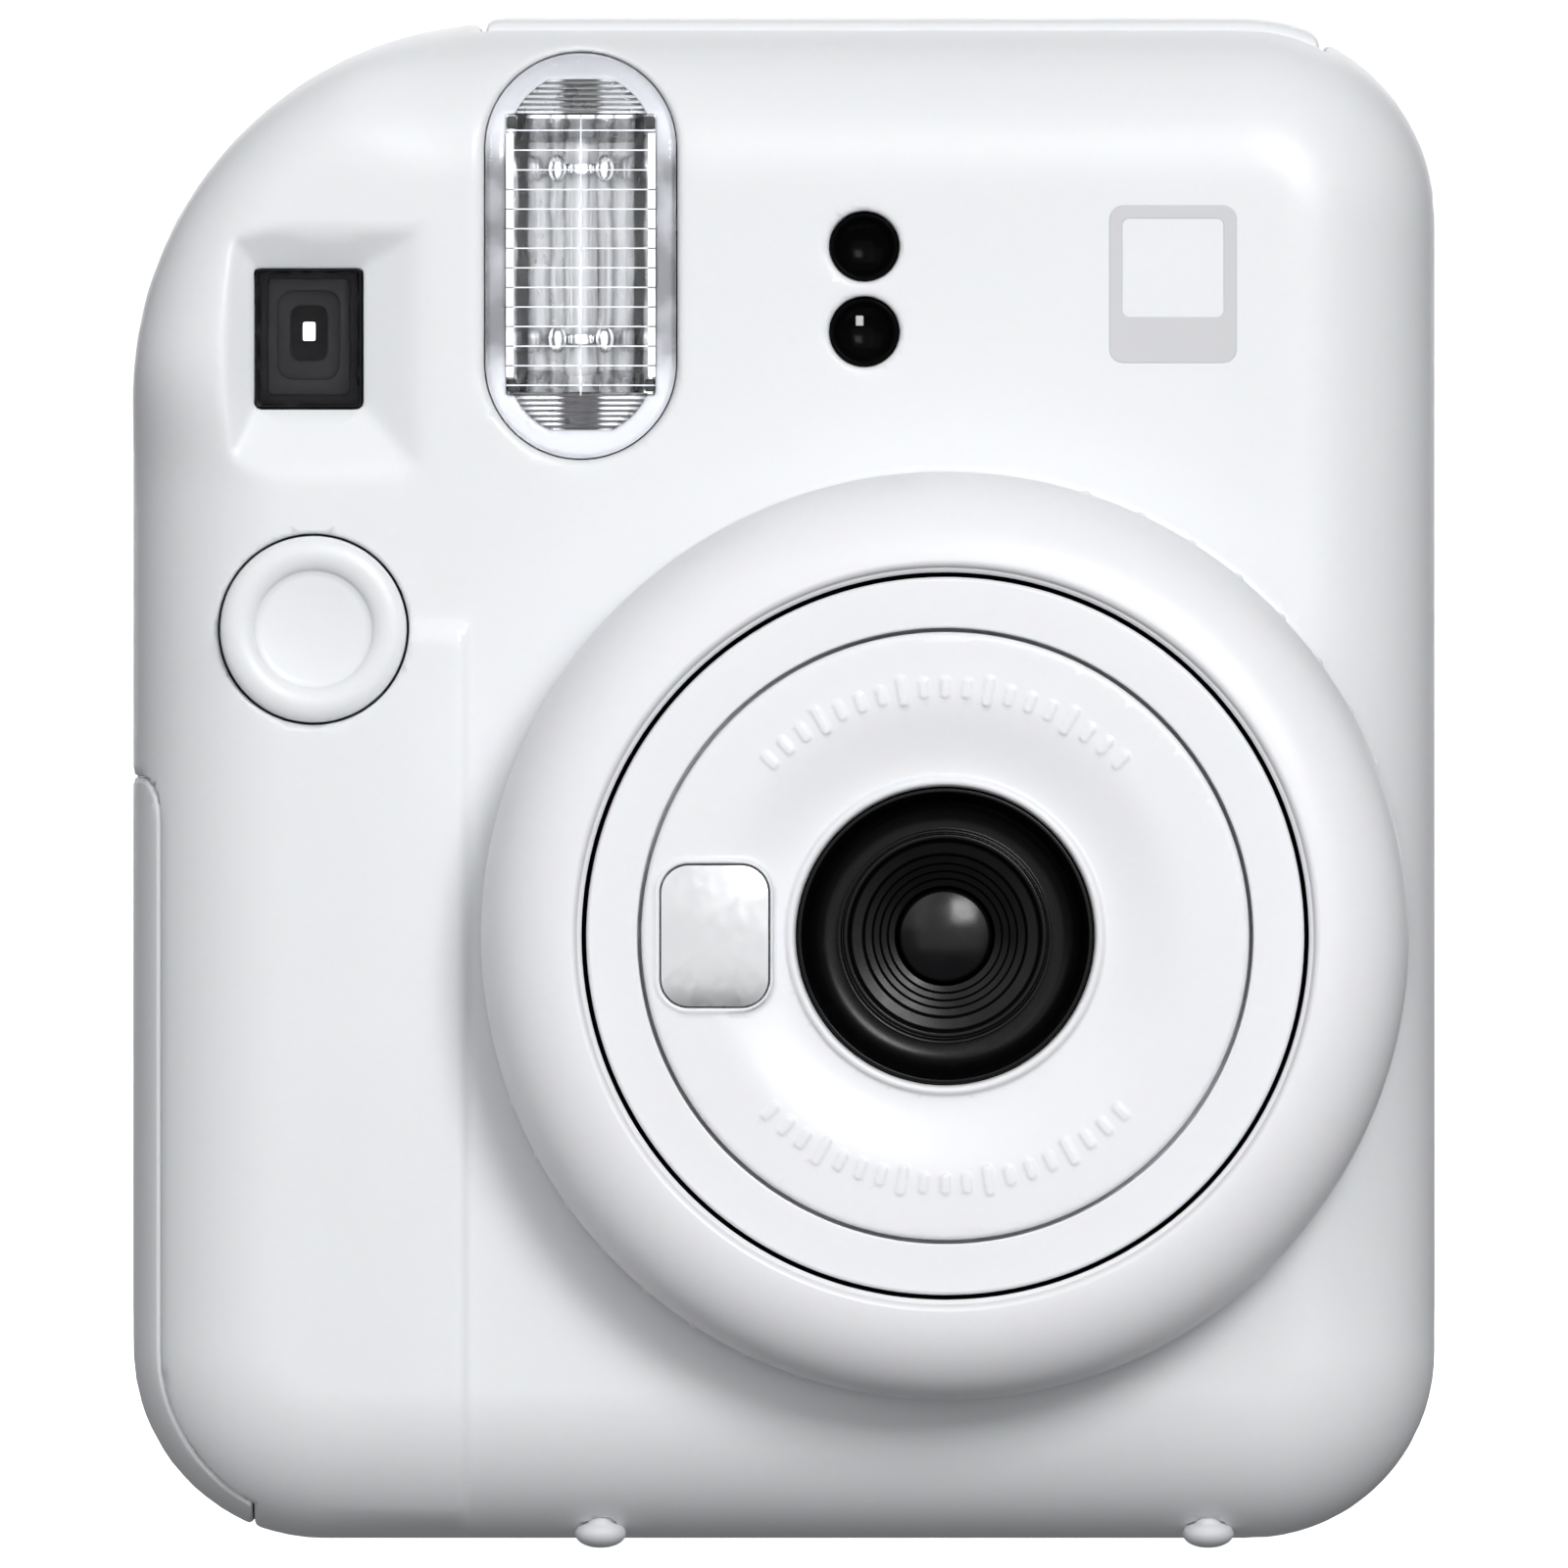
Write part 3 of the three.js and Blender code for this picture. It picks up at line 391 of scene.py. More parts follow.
def turned_mesh(name, profile, center, axis, segments, closed):
    """A profile of (radius, height) points turned about an axis through center. It is a closed loop, or
    with closed=False it starts and ends on the axis."""
    segments = segments
    bm = bmesh.new()
    rings = []
    for radius, height in profile:
        if radius < 1e-6:
            rings.append([bm.verts.new((0, 0, height))] * segments)
            continue
        angles = [2 * math.pi * i / segments for i in range(segments)]
        rings.append([bm.verts.new((radius * math.cos(a), radius * math.sin(a), height)) for a in angles])
    last = len(rings) if closed else len(rings) - 1
    for i in range(last):
        lower, upper = rings[i], rings[(i + 1) % len(rings)]
        for j in range(segments):
            k = (j + 1) % segments
            unique = list(dict.fromkeys([lower[j], lower[k], upper[k], upper[j]]))
            if len(unique) > 2:
                bm.faces.new(unique)
    to_axis = {"y": lambda v: (v.x, v.z, v.y), "x": lambda v: (v.z, v.x, v.y), "z": lambda v: (v.x, v.y, v.z)}
    for vert in bm.verts:
        vert.co = (Vector(to_axis[axis](vert.co)) + Vector(center)) * MM
    bmesh.ops.recalc_face_normals(bm, faces=bm.faces)
    return mesh_from(bm, name)


def turned(name, profile, center, look, axis="y", segments=160, closed=True, **place):
    mesh = turned_mesh(name, profile, center, axis, segments, closed)
    piece = add_piece(name, mesh, look, **place)
    piece.modifiers.new("flat faces stay flat", "WEIGHTED_NORMAL")
    return piece


def sheet_solid(name, rows, thickness, look, **place):
    """A thin closed sheet from rows of points, thickened by a modifier."""
    bm = bmesh.new()
    grid = [[bm.verts.new(Vector(p) * MM) for p in row] for row in rows]
    for lower, upper in zip(grid, grid[1:]):
        for i in range(len(lower) - 1):
            bm.faces.new((lower[i], lower[i + 1], upper[i + 1], upper[i]))
    piece = add_piece(name, mesh_from(bm, name), look, **place)
    solidify = piece.modifiers.new("thickness", "SOLIDIFY")
    solidify.thickness = thickness * MM
    solidify.offset = 1
    return piece


# ---- materials ----

def new_look(name, color, roughness, **sockets):
    """A Principled material. Sockets that are the same all over are set on the shader itself."""
    look = bpy.data.materials.new(name)
    look.use_nodes = True
    shader = look.node_tree.nodes["Principled BSDF"]
    shader.inputs["Base Color"].default_value = (*color, 1)
    shader.inputs["Roughness"].default_value = roughness
    for socket, value in sockets.items():
        shader.inputs[socket.replace("_", " ")].default_value = value
    return look, look.node_tree, shader


def add_node(tree, kind, sockets, **settings):
    """A shader node. Each of its sockets gets a value, or a link where an output socket is given."""
    node = tree.nodes.new("ShaderNode" + kind)
    for name, value in settings.items():
        setattr(node, name, value)
    for key, value in sockets.items():
        if isinstance(value, bpy.types.NodeSocket):
            tree.links.new(value, node.inputs[key])
        else:
            node.inputs[key].default_value = value
    return node


def position(tree):
    return add_node(tree, "TexCoord", {}).outputs["Object"]


def texture_noise(tree, scale, detail=2.0):
    noise = add_node(tree, "TexNoise", {"Vector": position(tree), "Scale": scale, "Detail": detail})
    return noise.outputs["Fac"]


def calculate(tree, operation, *values, **settings):
    return add_node(tree, "Math", dict(enumerate(values)), operation=operation, **settings).outputs["Value"]


def remap(tree, source, start, end, low=0.0, high=1.0, **settings):
    """A number that goes from low to high while source goes from start to end."""
    sockets = {"Value": source, "From Min": start, "From Max": end, "To Min": low, "To Max": high}
    return add_node(tree, "MapRange", sockets, **settings).outputs["Result"]


def color_ramp(shader, source, stops, interpolation="LINEAR"):
    """Drives the shader's colour from a number, through (position, colour) stops."""
    tree = shader.id_data
    ramp = add_node(tree, "ValToRGB", {"Fac": source})
    ramp.color_ramp.interpolation = interpolation
    elements = ramp.color_ramp.elements
    for i, (place, color) in enumerate(stops):
        stop = elements[i] if i < 2 else elements.new(place)
        stop.position = place
        stop.color = (*color, 1)
    tree.links.new(ramp.outputs["Color"], shader.inputs["Base Color"])


def vary_gloss(shader, noise_scale, low, high):
    """Lets the roughness wander between low and high."""
    tree = shader.id_data
    roughness = remap(tree, texture_noise(tree, noise_scale), 0.3, 0.7, low, high)
    tree.links.new(roughness, shader.inputs["Roughness"])


def tint(shader, pattern, color_a, color_b):
    color_ramp(shader, pattern, [(0.3, color_a), (0.7, color_b)])


def plastic(name, color, roughness, grain=0.00002, shift=0.02, **sockets):
    """Moulded plastic: a fine eroded texture, uneven gloss and a slight drift of colour."""
    look, tree, shader = new_look(name, color, roughness, **sockets)
    darker = tuple(c * (1 - shift) for c in color)
    tint(shader, texture_noise(tree, 60), darker, color)
    vary_gloss(shader, 700, roughness - 0.04, roughness + 0.04)
    height = texture_noise(tree, 3200, 3.0)
    bump = add_node(tree, "Bump", {"Strength": 0.25, "Distance": grain, "Height": height})
    tree.links.new(bump.outputs["Normal"], shader.inputs["Normal"])
    return look


def metal(name, color, roughness, **sockets):
    """Plated or drawn metal with faint cloudy wear in its gloss."""
    look, tree, shader = new_look(name, color, roughness, Metallic=1.0, **sockets)
    darker = tuple(c * 0.93 for c in color)
    tint(shader, texture_noise(tree, 240), darker, color)
    vary_gloss(shader, 900, roughness * 0.8, roughness * 1.25)
    return look


def clear(name, color, roughness, ior, **sockets):
    look, _, shader = new_look(name, color, roughness, IOR=ior, Transmission_Weight=1.0, **sockets)
    vary_gloss(shader, 300, roughness, roughness + 0.015)
    return look


def circuit_board():
    """Green solder mask with darker tracks under it and small tinned pads."""
    look, tree, shader = new_look("circuit board", (0.02, 0.16, 0.07), 0.3)
    turn = add_node(tree, "Mapping", {"Vector": position(tree), "Rotation": (math.pi / 2, 0, math.pi / 2)})
    tracks = add_node(tree, "TexBrick", {
        "Vector": turn.outputs["Vector"], "Scale": 220, "Mortar Size": 0.03,
        "Color1": (0.015, 0.13, 0.06, 1), "Color2": (0.02, 0.2, 0.09, 1), "Mortar": (0.35, 0.36, 0.3, 1),
    })
    tree.links.new(tracks.outputs["Color"], shader.inputs["Base Color"])
    tree.links.new(remap(tree, tracks.outputs["Fac"], 0.3, 0.7, 0.28, 0.5), shader.inputs["Roughness"])
    return look


def off_centre(tree, axis, center):
    """Distance of a point from the plane across an axis at this place, in metres."""
    split = add_node(tree, "SeparateXYZ", {"Vector": position(tree)})
    return calculate(tree, "ABSOLUTE", calculate(tree, "SUBTRACT", split.outputs[axis], center * MM))


def fluted_silver_painted_reflections():
    """Silvered trough with painted reflections: upright bands of painted bright and dark reflection in its
    colour, listed as (distance, brightness).
    """
    look, tree, shader = new_look("fluted reflector, painted reflections", (0.8, 0.8, 0.8), 0.2, Metallic=0.75)
    # Painted reflections: bright and dark bands across the trough, as (distance, brightness).
    reflection_bands = [(0.0, 0.8), (0.9, 0.75), (1.15, 0.2), (1.6, 0.75), (2.1, 0.95), (2.5, 0.35), (3.0, 0.85),
              (3.6, 0.9), (4.1, 0.45), (4.4, 0.05), (5.0, 0.06), (5.25, 0.9), (5.95, 1.0)]
    width = reflection_bands[-1][0]
    wobble = 0.9
    across = calculate(tree, "MULTIPLY_ADD", texture_noise(tree, 240), wobble * MM,
                       off_centre(tree, "X", FLASH_X))
    place = remap(tree, across, wobble / 2 * MM, (width + wobble / 2) * MM)
    stops = [(distance / width, (brightness,) * 3) for distance, brightness in reflection_bands]
    color_ramp(shader, place, stops)
    vary_gloss(shader, 900, 0.14, 0.28)
    return look


def ribbed_silver_painted_light():
    """Silvered cross ribs with painted light: a painted highlight on each crest and painted shade towards the
    middle of the window.
    """
    look, tree, shader = new_look("ribbed silver, painted light", (0.8, 0.8, 0.8), 0.3, Metallic=0.5)
    scale = 2 * math.pi / (20 * RIB_PITCH * MM)
    # Painted highlight: the wave makes each rib's crest bright.
    ribs = add_node(tree, "TexWave", {"Vector": position(tree), "Scale": scale}, bands_direction="Z")
    # Painted shade: the ribs get darker towards the middle of the window.
    shade = remap(tree, off_centre(tree, "X", FLASH_X), 0.9 * MM, 2.3 * MM, 0.22,
                  interpolation_type="SMOOTHSTEP")
    both = calculate(tree, "MULTIPLY", ribs.outputs["Fac"], shade)
    tint(shader, both, (0.13, 0.13, 0.13), (0.95, 0.95, 0.96))
    vary_gloss(shader, 900, 0.25, 0.35)
    return look


def bezel_painted_light_and_shade():
    """Grey bezel with painted light and shade, in place of how thick clear plastic over white looks: painted
    light round both ends and painted grey shade down the sides, in soft patches.
    """
    look, tree, shader = new_look("flash bezel, painted light and shade", (0.7, 0.7, 0.72), 0.22, Coat_Weight=0.5, Coat_Roughness=0.05)
    # Painted light: lighter round both ends of the window. Painted shade: grey patches down the sides.
    ends = remap(tree, off_centre(tree, "Z", FLASH_Z), 7.0 * MM, 13.0 * MM, 0.0, 0.6)
    patches = calculate(tree, "MULTIPLY_ADD", texture_noise(tree, 230), 0.7, ends, use_clamp=True)
    tint(shader, patches, (0.16, 0.16, 0.165), (0.62, 0.62, 0.64))
    vary_gloss(shader, 900, 0.18, 0.28)
    return look


def battery_jacket():
    """A plain cell jacket: a dark band and a copper-coloured band, with no print."""
    look, tree, shader = new_look("battery jacket", (0.1, 0.1, 0.11), 0.28, Metallic=0.7)
    low, high = mm_box("battery_front")[0][2], mm_box("battery_front")[1][2]
    split = add_node(tree, "SeparateXYZ", {"Vector": position(tree)})
    height = remap(tree, split.outputs["Z"], low * MM, (low + 1.5 * (high - low)) * MM)
    bands = [(0.0, (0.03, 0.03, 0.035)), (0.5, (0.5, 0.27, 0.12))]
    color_ramp(shader, height, bands, "CONSTANT")
    vary_gloss(shader, 500, 0.24, 0.32)
    return look


LOOKS = {
    "case_white": plastic("white case plastic", (0.83, 0.84, 0.86), 0.36, shift=0.012,
                          Subsurface_Weight=0.06, Subsurface_Scale=0.0015),
    "ring_white": plastic("white ring plastic", (0.87, 0.875, 0.9), 0.36, shift=0.012,
                          Subsurface_Weight=0.06, Subsurface_Scale=0.0015),
    "black_plastic": plastic("matte black plastic", (0.012, 0.012, 0.013), 0.42, shift=0.25),
    "hood_black": plastic("satin black plastic", (0.0025, 0.0025, 0.003), 0.26, grain=0.0, shift=0.2,
                          Specular_IOR_Level=0.18),
    "sensor_black": plastic("deep black gloss", (0.002, 0.002, 0.0022), 0.18, grain=0.0, shift=0.2,
                            Specular_IOR_Level=0.03),
    "finder_grey": plastic("dark grey mask", (0.036, 0.036, 0.039), 0.5, grain=0.0, Specular_IOR_Level=0.1),
    "finder_dark": plastic("darker grey mask", (0.005, 0.005, 0.006), 0.5, grain=0.0, Specular_IOR_Level=0.1),
    "black_gloss": plastic("glossy black window", (0.0025, 0.0025, 0.003), 0.2, grain=0.0, shift=0.2,
                           Specular_IOR_Level=0.12),
    # Painted shade: the front element is opaque black where the dark inside of the lens would show through
    # clear glass.
    "front_glass": plastic("coated front element, painted dark", (0.003, 0.003, 0.004), 0.21, grain=0.0, shift=0.2,
                           Specular_IOR_Level=0.3),
    "grey_plastic": plastic("grey plastic", (0.55, 0.56, 0.58), 0.4),
    "bezel_white": plastic("white bezel plastic", (0.88, 0.885, 0.9), 0.3, grain=0.0),
    "emblem": plastic("pale grey print", (0.62, 0.62, 0.64), 0.45, grain=0.0),
    "foot_rubber": plastic("pale rubber", (0.72, 0.73, 0.75), 0.55, grain=0.00003),
    "gear_plastic": plastic("gear plastic", (0.75, 0.75, 0.7), 0.4),
    "sleeve_black": plastic("capacitor sleeve", (0.02, 0.02, 0.03), 0.2, grain=0.0),
    "steel": metal("plated steel", (0.55, 0.55, 0.57), 0.3),
    "mirror": metal("mirror silvering", (0.7, 0.705, 0.72), 0.17),
    "rib_silver": metal("silvered ribs", (0.93, 0.93, 0.94), 0.22),
    "clear_plastic": clear("clear acrylic", (0.97, 0.98, 1.0), 0.02, 1.18),
    "dark_clear": clear("smoked acrylic", (0.6, 0.61, 0.63), 0.02, 1.49, Specular_IOR_Level=0.2),
    "finder_pane": clear("smoked finder pane", (0.72, 0.72, 0.74), 0.02, 1.14),
    "tube_glass": clear("frosted tube glass", (0.94, 0.94, 0.94), 0.3, 1.3),
    "fluted": fluted_silver_painted_reflections(),
    "ribbed_silver_painted_light": ribbed_silver_painted_light(),
    "bezel_painted_light_and_shade": bezel_painted_light_and_shade(),
    "circuit_board": circuit_board(),
    "battery_jacket": battery_jacket(),
}


# ---- case ----

def sensor_center(node):
    """The middle of a black window, which lies a little below the middle of its CAD window."""
    x, _, z = middle(node)
    return x, z - SENSOR_DROP


def grip_pad(g):
    """How far the finger pad of the grip stands up: it has a soft upper edge and a crisp right edge."""
    right, top = LENS_X - RING_RADIUS - 1.25, BUTTON_Z - 0.1
    inside = np.maximum((g.x - right) / 0.4, (g.z - top) / 0.8)
    rise = ease((g.x + 42) / 14, 0.5)
    return rise * np.clip(0.5 - 0.5 * inside, 0, 1) * np.clip((-10 - g.y) / 4, 0, 1)


def front_shell():
    low, high = mm_box("front_shell")
    g = Grid(low, (high[0], high[1], CASE_TOP), 0.3)
    solid = case_solid(g) - grip_pad(g)
    from_axis = circle(g.x, g.z, (LENS_X, LENS_Z), 0.0)
    plinth = common(from_axis - RING_RADIUS + 0.3, slab(g.y, PLINTH_FRONT, -8))
    shell = join(solid, plinth, 0.8)
    shell = carve(shell, solid + WALL)
    shell = carve(shell, common(from_axis - 32.7, g.y), 0.4)
    shell = carve(shell, common(from_axis - 34.8, slab(g.y, INNER_FRONT, -8)))
    shell = carve(shell, common(flash_outline(g, 0.1), g.y), 0.7)
    shell = carve(shell, finder_recess(g), 0.4)
    pane = (FINDER_WIDTH - 0.1, FINDER_HEIGHT - 0.1)
    shell = carve(shell, panel(g, (FINDER_X, FINDER_Z), pane, 0.2, high=0))
    shell = carve(shell, disc(g, (BUTTON_X, BUTTON_Z), BUTTON_RADIUS + 0.16, high=0), 0.3)
    for node in SENSORS:
        shell = carve(shell, disc(g, sensor_center(node), SENSOR_RADIUS + 0.08, high=0), 0.5)
    shell = carve(shell, battery_door_space(g, 0.12), 0.3)
    shell = carve(shell, cover_space(g, SEAM), SOFT_EDGE)
    shell = carve(shell, foot_holes(g, "front"))
    shell = common(shell, g.y - SPLIT_Y + SEAM / 2, SOFT_EDGE)
    moulded("front_shell", g, shell, "case_white")


def hinge_rods(g, spans, radius):
    return together([upright(g, (HINGE_X, HINGE_Y), radius, *span) for span in spans])


def hinge_webs(g, spans, solid, low, high):
    """Webs that tie the knuckles to the wall, kept within the case."""
    webs = together([block(g, (*low, z0), (*high, z1)) for z0, z1 in spans])
    return common(webs, common(solid, -(solid + WALL + 0.6)))


def hinge_room(g):
    """Room round both pairs of knuckles."""
    spans = [(min(a[0], b[0]) - 0.4, max(a[1], b[1]) + 0.4) for a, b in zip(*KNUCKLES.values())]
    return hinge_rods(g, spans, HINGE_RADIUS + 0.4)


def with_hinge(g, piece, solid, side, low, high):
    """The piece with room for the whole hinge, its own knuckles and webs, and the bore for the pins."""
    piece = carve(piece, hinge_room(g), 0.3)
    rods = hinge_rods(g, KNUCKLES[side], HINGE_RADIUS)
    piece = join(piece, join(rods, hinge_webs(g, KNUCKLES[side], solid, low, high)), 0.3)
    return carve(piece, circle(g.x, g.y, (HINGE_X, HINGE_Y), 1.15))


def door_space(g, margin):
    z0, z1 = 8 - margin, 108 + margin
    return block(g, (DOOR_LEFT - margin, 20, z0), (DOOR_RIGHT + margin, 60, z1), 1.2)


def with_screw_bosses(g, shell, solid):
    for side in ("left", "right"):
        place = middle(f"case_screw_{side}")
        shell = join(shell, common(upright(g, place, 3, 2, 7.6), solid + 0.3), 0.4)
        shell = carve(shell, upright(g, place, 2.5, high=3), 0.5)
        shell = carve(shell, upright(g, place, 1.4, high=9))
    return shell


def without_battery_door(g, shell):
    """The shell less the battery door's space, its round hinge edge and the groove that edge swings in."""
    above = g.z - BATTERY_DOOR_TOP - SEAM
    hinge = circle(g.x, g.y, (BATTERY_HINGE_X, BATTERY_DOOR_REAR), 1.5)
    groove = common(g.x - BATTERY_HINGE_X, slab(g.y, 0, BATTERY_DOOR_REAR + 1.55))
    shell = carve(shell, battery_door_space(g, 0.16), 0.3)
    shell = carve(shell, common(hinge, above), 0.3)
    return carve(shell, common(groove, common(above, 14 - g.z)), SOFT_EDGE)


def without_rear_openings(g, shell):
    """The shell less the openings for the strap lug, the eyepiece, the latch and the film counter."""
    low, high = mm_box("strap_lug")
    shell = carve(shell, block(g, (low[0] - 9, low[1] - SEAM, low[2] - SEAM), high + SEAM, 1.0), SOFT_EDGE)
    shell = carve(shell, panel(g, (FINDER_X, FINDER_Z), (13, 16), 2.8, low=20), SOFT_EDGE)
    shell = carve(shell, block(g, (LATCH_X - 2.7, 31.3, 49.5), (LATCH_X + 2.7, 40, 70.5), 0.8), SOFT_EDGE)
    shell = carve(shell, block(g, (LATCH_X - 1, 28, 53.6), (LATCH_X + 1, 40, 66.4), 0.3))
    return carve(shell, panel(g, (COUNTER_X, COUNTER_Z), (4.1, 4.1), 0.8, low=30), SOFT_EDGE)


def rear_shell():
    g = Grid(REAR_LOW, (REAR_HIGH[0], REAR_HIGH[1], CASE_TOP), 0.33)
    solid = case_solid(g)
    shell = carve(solid, solid + WALL)
    latch_pad = block(g, (LATCH_X - 4, 30.1, 48), (LATCH_X + 3.6, INNER_BACK + 0.2, 72))
    dial_stud = disc(g, middle("counter_dial")[::2], 1.0, 27.8, INNER_BACK + 0.2)
    shell = join(shell, join(latch_pad, dial_stud), 0.4)
    shell = with_screw_bosses(g, shell, solid)
    shell = carve(shell, door_space(g, 0.3), SOFT_EDGE)
    shell = carve(shell, cover_space(g, SEAM), SOFT_EDGE)
    shell = without_battery_door(g, shell)
    shell = without_rear_openings(g, shell)
    shell = carve(shell, foot_holes(g, "rear"), 0.4)
    shell = with_hinge(g, shell, solid, "case", (HINGE_X, 27.5), (49.8, HINGE_Y + 0.4))
    shell = common(shell, SPLIT_Y + SEAM / 2 - g.y, SOFT_EDGE)
    moulded("rear_shell", g, shell, "case_white")


def top_cover():
    """The raised cover, with a shallow trough round the film's exit slot."""
    g = Grid(*mm_box("top_cover"), 0.25)
    solid = case_solid(g)
    roller_y = (middle("film_roller_front")[1] + middle("film_roller_rear")[1]) / 2
    slot = rectangle(g.x, g.y, (LENS_X, roller_y), (56, 3.2), 0.9)
    trough = common(rectangle(g.x, g.y, (LENS_X, roller_y), (60, 8.4), 2.4), CASE_TOP - 0.3 - g.z)
    cover = carve(solid - COVER_RISE, solid + WALL)
    cover = common(cover, cover_space(g, 0), 1.1)
    cover = carve(cover, trough, 1.4)
    cover = carve(cover, slot, SOFT_EDGE)
    moulded("top_cover", g, cover, "case_white")


def back_door():
    """The film door, with a bevelled surround for the film window."""
    g = Grid(DOOR_LOW, DOOR_HIGH, 0.3)
    solid = case_solid(g)
    door = common(carve(solid, solid + WALL), door_space(g, 0), SOFT_EDGE)
    door = carve(door, panel(g, (WINDOW_X, WINDOW_Z), (11.6, 19.6), 2.6, low=BACK_PLANE - 0.5), 1.0)
    door = carve(door, panel(g, (WINDOW_X, WINDOW_Z), (9.4, 17.4), 1.6), 0.4)
    door = with_hinge(g, door, solid, "door", (42.5, 29.3), (HINGE_X, HINGE_Y + 0.4))
    moulded("back_door", g, door, "case_white", body="film_door")


def battery_door():
    """The door wraps round the grip's lower edge and turns about its own half-round rear edge."""
    g = Grid(*mm_box("battery_door"), 0.24)
    solid = case_solid(g)
    door = common(carve(solid, solid + WALL), battery_door_space(g, 0), 0.3)
    pin = circle(g.x, g.y, (BATTERY_HINGE_X, BATTERY_DOOR_REAR), 1.2)
    door = join(door, common(pin, slab(g.z, 14.3, BATTERY_DOOR_TOP)))
    scoop = np.sqrt((g.x + 55.4) ** 2 + (g.y + 1.5) ** 2 * 0.9 + ((g.z - 42) * 0.62) ** 2) - 4.6
    door = carve(door, scoop, 0.8)
    door = join(door, common(pin + 0.6, slab(g.z, 59, BATTERY_DOOR_TOP + 1.5)))
    moulded("battery_door", g, door, "case_white", body="battery_cover")


def strap_lug():
    """A recessed insert with an upright pin for the strap."""
    low, high = mm_box("strap_lug")
    g = Grid(low, high, 0.14)
    insert = common(block(g, (low[0] - 9, low[1], low[2]), high, 0.9), case_solid(g) + 0.25)
    insert = carve(insert, block(g, (-60, 8, 94.7), (-48.2, 14, 99.2), 0.8), 0.7)
    insert = join(insert, upright(g, (-50.4, 11), 0.9, 94.2, 99.7), 0.4)
    moulded("strap_lug", g, insert, "case_white", slot="grey_plastic")


def feet():
    """Domed feet with a narrow neck that goes up into the case."""
    width, rise, top = 2.05, 1.15, 5
    dome = [(width * math.sin(t), rise - rise * math.cos(t)) for t in np.linspace(0, 2.1, 14)]
    profile = dome + [(FOOT_NECK, 2.0), (FOOT_NECK, top), (0, top)]
    for node in ("foot_front_left", "foot_front_right", "foot_rear_left", "foot_rear_right"):
        x, y, _ = middle(node)
        turned(node, profile, (x, y, 0), "foot_rubber", axis="z", segments=48, closed=False)


def case_screws():
    """Cross-head screws, sunk in the two bosses under the case."""
    for node in ("case_screw_left", "case_screw_right"):
        place = middle(node)
        low, high = mm_box(node)
        g = Grid((low[0], low[1], SCREW_HEAD_LOW), high, 0.12)
        head = common(circle(g.x, g.y, place, 2.15), slab(g.z, SCREW_HEAD_LOW, SCREW_HEAD_HIGH), 0.5)
        shank = upright(g, place, 1.25, SCREW_HEAD_HIGH - 0.1, high[2])
        cross = together([rectangle(g.x, g.y, place, size, 0.2) for size in ((2.5, 0.65), (0.65, 2.5))])
        screw = carve(join(head, shank), common(cross, g.z - SCREW_HEAD_LOW - 0.6), 0.15)
        moulded(node, g, screw, "steel")


# ---- lens unit ----

def on_lens_axis(name, profile, look, segments=192, body="lens_group", **place):
    return turned(name, profile, (LENS_X, 0, LENS_Z), look, segments=segments, body=body, **place)


def bowl(radius, y, depth, count):
    """A shallow dish in profile, from the axis out to its radius."""
    return [np.array([radius * t, y + depth * t * t]) for t in np.linspace(0, 1, count)]


def twist_ring():
    """A ring with a full round shoulder."""
    back = PLINTH_FRONT - 0.3
    shoulder = arc((RING_RADIUS - RING_SHOULDER, RING_FRONT + RING_SHOULDER), RING_SHOULDER, -90, 0, 20)
    inside = rounded([(34.9, back, 0.2), (34.9, -26.5, 0.5), (32.3, -26.5, 0.5), (32.3, -3, 0.2),
                      (30.9, -3, 0.2), (30.9, -18.2, 0), (RING_BORE, -18.2, 0.2)])
    bore_edge = arc((RING_BORE + 0.45, RING_FRONT + 0.5), 0.45, 180, 270, 4)
    profile = inside + bore_edge + shoulder + rounded([(RING_RADIUS, back, 0)])
    on_lens_axis("twist_ring", profile, "ring_white", 256, body="ring")


def ring_grip_bumps():
    """Small grip bumps in two opposite arcs of the ring's side wall."""
    bumps = bmesh.new()
    reach = RING_RADIUS - 0.3
    for first in (21.8, 201.2):
        for i in range(8):
            angle = math.radians(first + 7.2 * i)
            x, z = LENS_X + reach * math.cos(angle), LENS_Z + reach * math.sin(angle)
            for y in (-24.6, -23.0, -21.4):
                dome = bmesh.ops.create_icosphere(bumps, subdivisions=2, radius=GRIP_BUMP_RADIUS * MM)
                bmesh.ops.translate(bumps, verts=dome["verts"], vec=Vector((x, y, z)) * MM)
    add_piece("ring_grip_bumps", mesh_from(bumps, "ring_grip_bumps"), "ring_white", body="ring")


def lens_barrel():
    front, back = PLATE_FRONT - 0.15, -3.2
    profile = rounded([
        (PLATE_BORE, front, 0.2), (BARREL_RADIUS, front, 0.35), (BARREL_RADIUS, back, 0.2), (27, back, 0.2),
        (27, -29.1, 0.3), (23, -29.1, 0.2), (23, -30.3, 0.2), (PLATE_BORE, -30.3, 0),
    ])
    on_lens_axis("lens_barrel", profile, "ring_white")


def plate_ticks(g, r):
    """Round-ended ticks every five degrees, in an upper and a lower arc. Every fourth one is longer."""
    angle = np.degrees(np.arctan2(g.z - LENS_Z, g.x - LENS_X)) % 360
    step, end_radius = 5.0, 0.25
    along = np.radians((angle + step / 2) % step - step / 2) * r
    every_fourth = (np.floor((angle + step / 2) / step) % 4) == 0
    length = np.where(every_fourth, 2.3, 1.5)
    sideways = np.maximum(np.abs(along) - 0.05, 0)
    outwards = np.maximum(np.abs(r - TICK_RADIUS) - length / 2 + end_radius, 0)
    marked = ((angle > 42) & (angle < 138)) | ((angle > 222) & (angle < 318))
    return np.where(marked, np.hypot(sideways, outwards) - end_radius, 5.0)


